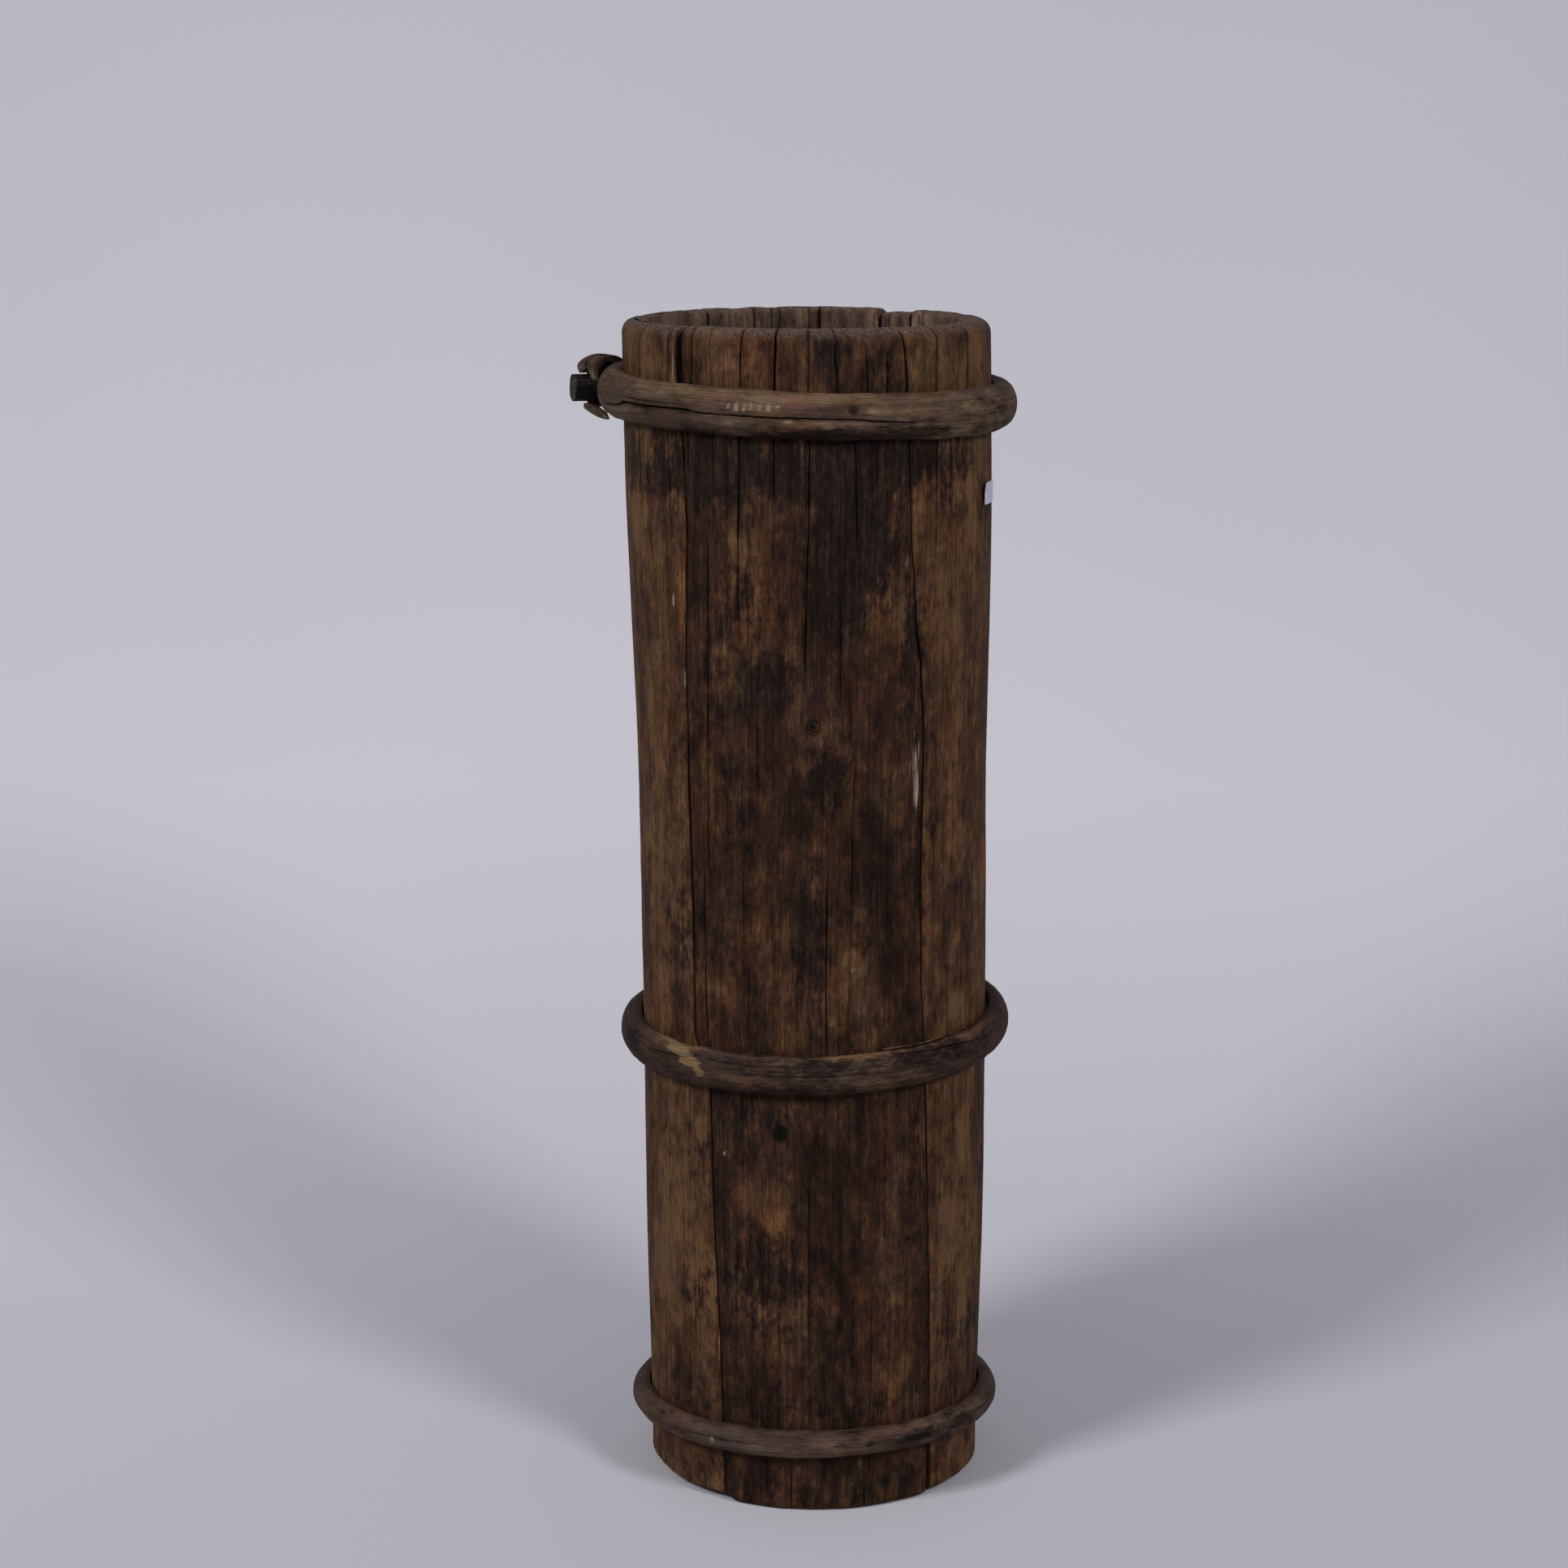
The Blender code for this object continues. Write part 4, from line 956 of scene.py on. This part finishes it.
def peg_profile(hoop):
    """A peg's outline as (r, z), from the middle of its end to the middle of its point."""
    seat, head, shank = hoop["head_seat"], hoop["head_radius"], hoop["shank_radius"]
    end, bevel = seat + hoop["head_length"], 0.26 * head
    profile = [(share * (head - bevel), end - 0.04 * bevel * share)
               for share in (0.0, 0.25, 0.5, 0.75, 0.92, 1.0)]
    for a in np.radians((25, 50, 75, 90)):
        profile.append((head - bevel * (1 - math.sin(a)), end - bevel * 0.8 * (1 - math.cos(a))))
    profile += [(head, z) for z in np.linspace(end - bevel, seat + 0.3 * bevel, 14)]
    profile += [(head - 0.3 * bevel, seat), (shank, seat)]
    profile += [(shank, z) for z in np.linspace(seat - 0.001, 2 * PEG_INNER_END, 8)]
    return profile + [(0.8 * shank, PEG_INNER_END), (0.0, PEG_INNER_END)], end, bevel


def build_peg(label):
    """A whittled peg: knife flats along it, a bevelled head."""
    hoop = HOOPS[label]
    seed, head = hoop["seed"] + 10, hoop["head_radius"]
    profile, end, bevel = peg_profile(hoop)
    points, faces = turned(profile, PEG_COLUMNS)
    angle, far = np.arctan2(points[:, 1], points[:, 0]), np.hypot(points[:, 0], points[:, 1])
    cuts = np.radians(np.array(KNIFE_CUTS_DEG) + 3.0 * seed)
    from_cut = np.array([(angle - cut + math.pi) % (2 * math.pi) - math.pi for cut in cuts])
    flats = np.min(math.cos(math.radians(23)) / np.maximum(np.cos(from_cut), 0.2), axis=0)
    size = np.minimum(flats, 1.0) * (0.985 + 0.012 * noise(seed, angle * 2.2, points[:, 2] / 0.006))
    points[:, :2] *= size[:, None]
    on_end = points[:, 2] > end - bevel * 0.5
    rough = 0.0005 * (0.5 + 0.5 * noise(seed + 1, points[:, 0] / 0.003, points[:, 1] / 0.003))
    slant = 0.5 * SLANT[label] * (1 + points[:, 1] / head)
    points[:, 2] -= np.where(on_end, rough + slant, 0.0)
    grain = np.stack((angle * head + seed * 0.37, far, points[:, 2] + seed * 0.91), axis=-1)
    grain[on_end, 0] = points[on_end, 0] + seed * 0.37
    # Painted highlight: a lighter, paler ring round the head's bevel.
    near_end = np.exp(-(((points[:, 2] - end + 0.6 * bevel) / (0.5 * bevel)) ** 2))
    bevel_highlight = smooth((far - 0.70 * head) / (0.2 * head)) * near_end
    # Painted shade: the peg's side gets half a cover of dark grime colour, the end face none.
    made = add_mesh("whittled_peg_" + label, points, faces, grain, dirt=0.5 * ~on_end, worn=0.9 * bevel_highlight,
                    cavity=0.0, torn=0.35 * bevel_highlight, end=on_end, inside=0.0)
    made.location, made.rotation_euler = peg_place(hoop)
    bpy.context.view_layer.update()
    made.data.transform(made.matrix_world)
    made.location, made.rotation_euler = (0, 0, 0), (0, 0, 0)
    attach(made, label + "_peg")
    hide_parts("peg_" + label)
    return made


# ------------------------------------------------------------------ bottom board and label
def build_board():
    """The bottom: one riven board, bevelled to a tongue that sits in the croze."""
    low, high = BOARD_LOW.z, BOARD_HIGH.z
    middle, tongue = (CROZE_LOW + CROZE_HIGH) / 2, (CROZE_HIGH - CROZE_LOW) / 2 - 0.0004
    edge = (BOARD_HIGH.x - BOARD_LOW.x) / 2 - 0.0002
    groove = float(inner_radius(CROZE_LOW)) - 0.0004
    shoulder = float(inner_radius(CROZE_LOW)) - CROZE_DEPTH
    shares = np.linspace(0.04, 1, 34)
    profile = [(0.0, high)] + [(share * shoulder, high) for share in shares]
    profile += [(radius, middle + tongue) for radius in (groove, edge)]
    profile += [(radius, middle - tongue) for radius in (edge, groove)]
    profile += [(share * shoulder, low) for share in shares[::-1]] + [(0.0, low)]
    points, faces = turned(profile, 150)
    x, y = points[:, 0].copy(), points[:, 1].copy()
    face = np.where(points[:, 2] > middle, 1.0, -1.0) * (np.abs(points[:, 2] - middle) > tongue + 0.001)
    relief = 0.45 * noise(71, x / 0.012, y / 0.09) + 0.2 * noise(72, x / 0.004, y / 0.05) - 0.7
    crack = np.exp(-(((x - 0.012 - 0.002 * noise(73, 0.5, y / 0.03)) / 0.0010) ** 2)) * (face > 0)
    points[:, 2] += MM * face * (relief - 1.5 * crack)
    points[:, :2] += AXIS[:2]
    grain = np.stack((x + 0.7, points[:, 2], y + 0.3), axis=-1)
    dirt = 0.5 * (np.hypot(x, y) > 0.9 * shoulder) + 0.2
    # Painted shade darkens the crack.
    made = add_mesh("bottom_board_wood", points, faces, grain, dirt=dirt, worn=0.0, cavity=0.8 * crack,
                    torn=0.0, end=0.0, inside=1.0)
    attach(made, "tub")
    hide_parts("bottom_board")
    return made


def build_label():
    """A blank paper label stuck round the right stave, its left end a little lifted and wavy."""
    across, up = np.meshgrid(np.linspace(0, 1, 45), np.linspace(-1, 1, 25), indexing="ij")
    corner, flat_share = 0.0016, 0.72
    into_corner = np.clip((np.abs(up) - flat_share) / (1 - flat_share), 0, 1)
    inset = corner * (1 - np.sqrt(1 - into_corner**2))
    wave = 0.0005 * noise(91, up / 0.45, 0.5) + 0.0006 * (1 - up**2)
    span = mix(inset + 0.0007 - wave, LABEL_SIZE[0] - inset, across)
    z = LABEL_Z + up * LABEL_SIZE[1] / 2
    lift = 0.0007 * (1 - smooth(across / 0.16)) * (0.6 + 0.4 * up)
    lift += 0.00012 * noise(92, across / 0.11, up / 0.4)
    under = float(outer_radius(LABEL_Z)) + LABEL_GAP
    angle = math.radians(LABEL_LEFT_DEG) + span / under
    sheets = []
    for thickness in (LABEL_THICKNESS, 0.0):
        radius = under + np.maximum(lift, 0) + thickness
        x, y = AXIS[0] + radius * np.sin(angle) + float(lean(LABEL_Z)), AXIS[1] - radius * np.cos(angle)
        sheets.append(np.stack((x, y, z), axis=-1).reshape(-1, 3))
    rows, columns = across.shape
    front, count = band_faces(rows, columns), rows * columns
    border = [i * columns for i in range(rows)] + [count - columns + j for j in range(1, columns)]
    border += [i * columns + columns - 1 for i in range(rows - 2, -1, -1)] + list(range(columns - 2, 0, -1))
    faces = front.tolist() + (front[:, ::-1] + count).tolist()
    faces += [(b, a, a + count, b + count) for a, b in zip(border, border[1:] + border[:1])]
    grain = np.tile(np.stack((span, 0 * z, z), axis=-1).reshape(-1, 3), (2, 1))
    made = add_mesh("blank_paper_label", np.concatenate(sheets), faces, grain)
    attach(made, "tub")
    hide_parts("paper_label")
    return made


# ------------------------------------------------------------------ materials
def srgb(*levels):
    """A display colour, 0 to 255, as a linear colour."""
    return tuple(((v / 255 + 0.055) / 1.055) ** 2.4 if v > 10 else v / 255 / 12.92 for v in levels) + (1.0,)


class Shader:
    """A material's node tree, built from plain calls that return sockets."""

    def __init__(self, name):
        self.material = bpy.data.materials.new(name)
        self.material.use_nodes = True
        self.tree = self.material.node_tree
        self.surface = self.tree.nodes["Principled BSDF"]

    def node(self, kind, inputs=(), **settings):
        made = self.tree.nodes.new(kind)
        for key, value in settings.items():
            setattr(made, key, value)
        for key, value in dict(inputs).items():
            self.put(made.inputs[key], value)
        return made

    def put(self, socket, value):
        if isinstance(value, bpy.types.NodeSocket):
            self.tree.links.new(value, socket)
        else:
            socket.default_value = value

    def attribute(self, name, output="Fac"):
        return self.node("ShaderNodeAttribute", attribute_name=name).outputs[output]

    def stretched(self, vector, scale, shift=(0, 0, 0)):
        made = self.node("ShaderNodeMapping", {"Vector": vector, "Scale": scale, "Location": shift})
        return made.outputs["Vector"]

    def noise(self, vector, detail, roughness, distortion=0.0, output="Fac"):
        made = self.node("ShaderNodeTexNoise", {"Vector": vector, "Scale": 1.0, "Detail": detail,
                                                "Roughness": roughness, "Distortion": distortion})
        return made.outputs[output]

    def math(self, operation, a, b=0.0, c=0.0):
        return self.node("ShaderNodeMath", {0: a, 1: b, 2: c}, operation=operation).outputs[0]

    def vector(self, operation, *inputs):
        return self.node("ShaderNodeVectorMath", dict(enumerate(inputs)), operation=operation)

    def bump(self, height, strength, distance):
        made = self.node("ShaderNodeBump", {"Height": height, "Strength": strength, "Distance": distance})
        self.put(self.surface.inputs["Normal"], made.outputs["Normal"])

    def spread(self, value, low, high, to_low=0.0, to_high=1.0):
        made = self.node("ShaderNodeMapRange", {"Value": value, "From Min": low, "From Max": high,
                                                "To Min": to_low, "To Max": to_high})
        return made.outputs["Result"]

    def ramp(self, value, stops):
        made = self.node("ShaderNodeValToRGB", {"Fac": value})
        elements = made.color_ramp.elements
        while len(elements) < len(stops):
            elements.new(0.5)
        for element, (at, colour) in zip(elements, stops):
            element.position, element.color = at, colour
        return made.outputs["Color"]

    def mix(self, share, a, b, blend="MIX"):
        made = self.node("ShaderNodeMix", data_type="RGBA", blend_type=blend)
        self.put(made.inputs[0], share)
        self.put(made.inputs[6], a)
        self.put(made.inputs[7], b)
        return made.outputs[2]


def wood(name, ramp, torn, end, tint, across=1.0, contrast=1.0, knots=(), level=0.0):
    """Old riven wood. Its colours run along the grain in ragged islands of dirt over worn, warmer wood. The
    same dirt cover paints shade on the pegs' sides, and the same lightening paints light on the strands' tops
    and round the pegs' bevels.
    """
    s = Shader(name)
    grain = s.attribute("grain", "Vector")
    fibre = s.noise(s.stretched(grain, (1100 * across, 400, 34)), 4.0, 0.7)
    streak = s.noise(s.stretched(grain, (300 * across, 90, 9), (3, 1, 7)), 4.0, 0.65)
    blotch = s.noise(s.stretched(grain, (105 * across, 60, 66), (9, 5, 2)), 5.0, 0.68, 0.2)
    fleck = s.noise(s.stretched(grain, (520 * across, 120, 190), (4, 8, 6)), 4.0, 0.7, 0.1)
    patch = s.noise(s.stretched(grain, (30 * across, 20, 12), (1, 2, 5)), 3.0, 0.6, 0.4)
    hue = s.noise(s.stretched(grain, (55 * across, 30, 16), (7, 3, 9)), 2.0, 0.5)
    dirt, worn = s.attribute("dirt"), s.attribute("worn")
    even = [s.math("SUBTRACT", v, 0.5) for v in (blotch, fleck, streak, fibre)]
    tone = s.math("MULTIPLY_ADD", patch, 1.2 * contrast, 0.5 - 0.6 * contrast + level)
    for value, weight in zip(even, (1.25, 0.75, 0.60, 0.42)):
        tone = s.math("MULTIPLY_ADD", value, weight * contrast, tone)
    # Wear lightens the wood; on the strands' tops and the pegs' bevels this lightening is painted light.
    tone = s.math("MULTIPLY_ADD", worn, 0.27, tone)
    colour = s.ramp(tone, ramp)
    colour = s.mix(s.spread(hue, 0.42, 0.66), colour, s.mix(1.0, colour, tint, "MULTIPLY"))
    # The dirt cover darkens towards the grime colour; on the pegs' sides it is painted shade.
    grime_and_shade, cover = 0.5, s.math("MULTIPLY_ADD", s.math("SUBTRACT", patch, 0.5), -0.5, dirt)
    for value, weight, ragged in zip(even, (0.7, 1.1, 1.0, 0.6), (2.3, 1.0, 1.0, 0.2)):
        grime_and_shade = s.math("MULTIPLY_ADD", value, weight, grime_and_shade)
        cover = s.math("MULTIPLY_ADD", value, -ragged, cover)
    cover = s.math("MULTIPLY", s.spread(cover, 0.26, 0.84), 0.88)
    colour = s.mix(cover, colour, s.ramp(grime_and_shade, GRIME_AND_SHADE_RAMP))
    drift = s.noise(s.stretched(grain, (80 * across, 40, 45), (8, 8, 1)), 4.0, 0.6, output="Color")
    drift = s.mix(0.75, drift, (0.5, 0.5, 0.5, 1.0))
    colour = s.mix(1.0, colour, s.mix(1.0, drift, (2.0, 2.0, 2.0, 1.0), "MULTIPLY"), "MULTIPLY")
    colour = s.mix(s.attribute("inside"), colour, s.ramp(tone, INSIDE_RAMP))
    rings = s.noise(s.stretched(grain, (420, 900, 160), (2, 6, 1)), 4.0, 0.7)
    colour = s.mix(s.attribute("end"), colour, s.ramp(rings, end))
    shreds = s.noise(s.stretched(grain, (1500 * across, 300, 75), (5, 5, 5)), 4.0, 0.75, 0.2)
    torn_mark = s.attribute("torn")
    splinter = s.math("MULTIPLY_ADD", s.math("SUBTRACT", shreds, 0.5), 2.6, torn_mark)
    splinter = s.math("MULTIPLY", s.spread(splinter, 0.35, 0.62), s.spread(torn_mark, 0.05, 0.20))
    shade = s.mix(s.spread(fibre, 0.35, 0.6), s.mix(0.55, torn, srgb(60, 48, 40)), torn)
    colour = s.mix(splinter, colour, shade)
    lines = s.spread(fibre, 0.30, 0.46)
    colour = s.mix(s.math("MULTIPLY_ADD", lines, -0.28, 0.28), colour, srgb(16, 11, 9))
    checks = s.noise(s.stretched(grain, (330 * across, 60, 5.5), (6, 2, 4)), 2.0, 0.5, 0.1)
    checks = s.spread(s.math("ABSOLUTE", s.math("SUBTRACT", checks, 0.5)), 0.010, 0.003)
    checks = s.math("MULTIPLY", checks, s.spread(blotch, 0.44, 0.56))
    colour = s.mix(s.math("MULTIPLY", checks, 0.6), colour, srgb(13, 9, 8))
    height = s.math("MULTIPLY_ADD", streak, 0.6, s.math("MULTIPLY", fibre, 0.7))
    height = s.math("MULTIPLY_ADD", fleck, 0.35, height)
    height = s.math("MULTIPLY_ADD", checks, -0.5, height)
    for place, size, dark in knots:
        away = s.vector("SUBTRACT", grain, place).outputs[0]
        away = s.vector("MULTIPLY", away, (1.0, 0.2, 1.0)).outputs[0]
        reach = s.vector("LENGTH", away).outputs["Value"]
        wobble = s.noise(s.stretched(grain, (420, 100, 420), (2, 9, 4)), 3.0, 0.65)
        reach = s.math("MULTIPLY_ADD", s.math("SUBTRACT", wobble, 0.5), 1.1 * size * (1.15 - dark), reach)
        turns = s.math("SINE", s.math("MULTIPLY", reach, 6.2 / (0.36 * size)))
        heart = s.math("MULTIPLY", s.spread(reach, size, 0.88 * size), s.spread(turns, -1.0, 1.0, dark, 1.0))
        colour = s.mix(heart, colour, srgb(19, 14, 13))
        pith = s.spread(reach, 0.36 * size, 0.20 * size, 0.0, 1.0 - 0.6 * dark)
        colour = s.mix(pith, colour, srgb(9, 7, 6))
        edge = s.math("MULTIPLY", s.spread(reach, 1.25 * size, size), s.spread(reach, 0.85 * size, size))
        colour = s.mix(s.math("MULTIPLY", edge, 0.85 - 0.5 * dark), colour, srgb(12, 9, 8))
        swirl = s.math("MULTIPLY", s.spread(reach, size, 0.8 * size), 0.25 * (1 - dark))
        height = s.math("MULTIPLY_ADD", turns, swirl, height)
    # Painted shade: cracks, splits, pits, furrows, stave joints and the hoops' flat sides go nearly black.
    colour = s.mix(s.math("MULTIPLY", s.attribute("cavity"), 0.93), colour, srgb(8, 6, 5))
    s.put(s.surface.inputs["Base Color"], colour)
    s.put(s.surface.inputs["Roughness"], s.spread(tone, 0.1, 0.9, 0.56, 0.80))
    s.put(s.surface.inputs["Specular IOR Level"], 0.05)
    s.bump(height, 0.75, 0.0011)
    return s.material


def paper(name):
    s = Shader(name)
    grain = s.attribute("grain", "Vector")
    fibres = s.noise(s.stretched(grain, (900, 900, 900)), 4.0, 0.6)
    clouds = s.noise(s.stretched(grain, (120, 120, 120), (3, 3, 3)), 3.0, 0.5)
    colour = s.ramp(s.math("MULTIPLY_ADD", s.math("SUBTRACT", fibres, 0.5), 0.4, clouds),
                    ((0.25, srgb(168, 166, 184)), (0.75, srgb(190, 188, 204))))
    s.put(s.surface.inputs["Base Color"], colour)
    s.put(s.surface.inputs["Roughness"], s.spread(fibres, 0.3, 0.7, 0.55, 0.75))
    s.bump(fibres, 0.3, 0.0002)
    return s.material


def backdrop_paper(name):
    s = Shader(name)
    place = s.node("ShaderNodeTexCoord").outputs["Object"]
    clouds = s.noise(s.stretched(place, (1.2, 1.2, 1.2)), 2.0, 0.4)
    tooth = s.noise(s.stretched(place, (700, 700, 700)), 2.0, 0.5)
    # Painted shade: the floor darkens towards the camera, from the pale far tone to a much darker front tone.
    near = s.spread(s.node("ShaderNodeSeparateXYZ", {0: place}).outputs["Y"], 1.1, -1.0)
    far_tone = s.ramp(clouds, ((0.3, srgb(222, 221, 229)), (0.7, srgb(226, 225, 233))))
    shaded_front_tone = s.ramp(clouds, ((0.3, srgb(148, 147, 154)), (0.7, srgb(152, 151, 158))))
    s.put(s.surface.inputs["Base Color"], s.mix(near, far_tone, shaded_front_tone))
    s.put(s.surface.inputs["Roughness"], s.spread(tooth, 0.3, 0.7, 0.85, 0.95))
    s.put(s.surface.inputs["Specular IOR Level"], 0.2)
    s.bump(tooth, 0.05, 0.0002)
    return s.material


# ------------------------------------------------------------------ floor, light and camera
def build_backdrop():
    """A seamless paper sweep: floor, curve and wall."""
    bend, back, height, half = 2.4, 2.6, 3.4, 5.0
    section = [(-3.5, 0.0), (-1.0, 0.0)] + [(y, 0.0) for y in np.linspace(-0.6, back - bend, 9)]
    for a in np.radians(np.linspace(0, 90, 40)[1:]):
        section.append((back - bend + bend * math.sin(a), bend * (1 - math.cos(a))))
    section += [(back, z) for z in np.linspace(bend, height, 6)[1:]]
    section = np.array(section)
    x = np.linspace(-half, half, 21)
    points = np.stack(np.broadcast_arrays(x[None, :], section[:, None, 0], section[:, None, 1]), axis=-1)
    mesh = bpy.data.meshes.new("paper_sweep")
    mesh.from_pydata(points.reshape(-1, 3), [], band_faces(len(section), len(x)).tolist())
    mesh.shade_smooth()
    made = link("paper_sweep", mesh)
    made.data.materials.append(backdrop_paper("backdrop_paper"))


def add_light(name, place, aim, energy):
    light = bpy.data.lights.new(name, "AREA")
    light.shape, light.size, light.energy, light.color = "DISK", 0.8, energy, (1.0, 0.99, 0.995)
    made = link(name, light)
    made.location = place
    made.rotation_euler = (Vector(aim) - Vector(place)).to_track_quat("-Z", "Y").to_euler()


def build_lights():
    x, y = AXIS[0], AXIS[1]
    add_light("softbox_left", (x - 1.75, y - 1.65, 2.05), (x, y, 0.50), 54.0)
    add_light("softbox_right", (x + 1.60, y - 1.95, 1.90), (x, y, 0.50), 43.0)
    world = bpy.data.worlds.new("studio")
    world.use_nodes = True
    glow = world.node_tree.nodes["Background"].inputs
    glow["Color"].default_value, glow["Strength"].default_value = (0.94, 0.94, 1.0, 1.0), 0.24
    bpy.context.scene.world = world
    bpy.context.scene.view_settings.view_transform = "Standard"


def build_camera():
    camera = bpy.data.cameras.new("camera")
    camera.lens, camera.sensor_width = 81.13, 36.0
    made = link("camera", camera)
    made.location = (AXIS[0], AXIS[1] - 1.958, 0.791)
    made.rotation_euler = (math.radians(90 - 11.37), 0.0, math.radians(0.52))
    bpy.context.scene.camera = made


# Each wood's colours from dark to light
STAVE_RAMP = ((0.05, srgb(20, 13, 11)), (0.30, srgb(35, 23, 18)), (0.52, srgb(52, 35, 26)),
              (0.74, srgb(74, 52, 37)), (1.00, srgb(100, 75, 53)))
INSIDE_RAMP = ((0.20, srgb(40, 30, 26)), (0.48, srgb(72, 56, 47)), (0.72, srgb(95, 76, 62)),
               (1.00, srgb(122, 102, 84)))
# Grime colours, also painted as shade on the pegs' sides.
GRIME_AND_SHADE_RAMP = ((0.20, srgb(15, 10, 9)), (0.50, srgb(29, 21, 19)), (0.80, srgb(50, 38, 33)))
END_RAMP = ((0.30, srgb(40, 31, 28)), (0.50, srgb(84, 69, 61)), (0.72, srgb(128, 112, 103)))
PEG_END_RAMP = ((0.30, srgb(32, 28, 29)), (0.50, srgb(51, 46, 48)), (0.72, srgb(74, 67, 69)))
PEG_RAMP = ((0.1, srgb(14, 12, 12)), (0.5, srgb(24, 20, 20)), (0.9, srgb(52, 45, 43)))
TORN_PINE = srgb(150, 134, 118)
ORANGE, WARM, NO_TINT = (1.10, 0.98, 0.84, 1.0), (1.10, 1.0, 0.88, 1.0), (1.0, 1.0, 1.0, 1.0)
# Each hoop's wood: its name, its colours from dark to light and the colour of its torn places
HOOP_WOODS = {
    "top": ("peeled_sapling", ((0.05, srgb(32, 25, 21)), (0.32, srgb(54, 42, 35)), (0.55, srgb(78, 62, 51)),
                               (0.85, srgb(112, 93, 75))), srgb(128, 110, 92)),
    "middle": ("dark_sapling", ((0.05, srgb(26, 19, 18)), (0.34, srgb(45, 34, 31)), (0.58, srgb(65, 50, 43)),
                                (0.9, srgb(106, 82, 60))), srgb(122, 98, 72)),
    "bottom": ("grey_sapling", ((0.05, srgb(30, 22, 21)), (0.34, srgb(52, 40, 37)), (0.58, srgb(76, 60, 53)),
                                (0.9, srgb(108, 88, 72))), srgb(150, 138, 138)),
}

build_camera()
build_lights()
build_backdrop()
for stave_name in STAVES:
    stave, knot_places = build_stave(stave_name)
    stave.data.materials.append(wood("riven_pine_" + stave_name, STAVE_RAMP, TORN_PINE, END_RAMP, ORANGE,
                                     knots=knot_places, level=LEVELS[stave_name]))
hoop_looks = {label: wood(wood_name, colours, torn_colour, END_RAMP, WARM, across=1.2, contrast=0.62)
              for label, (wood_name, colours, torn_colour) in HOOP_WOODS.items()}
# The pegs' pale torn colour paints the highlight round each head's bevel.
peg_look = wood("whittled_hardwood", PEG_RAMP, srgb(110, 100, 98), PEG_END_RAMP, NO_TINT, across=1.2)
for hoop_name in HOOPS:
    build_hoop(hoop_name).data.materials.append(hoop_looks[hoop_name])
    build_peg(hoop_name).data.materials.append(peg_look)
for strand_name in STRANDS:
    build_strand(strand_name).data.materials.append(hoop_looks["top"])
build_board().data.materials.append(wood("bottom_pine", STAVE_RAMP, TORN_PINE, END_RAMP, WARM))
build_label().data.materials.append(paper("label_paper"))
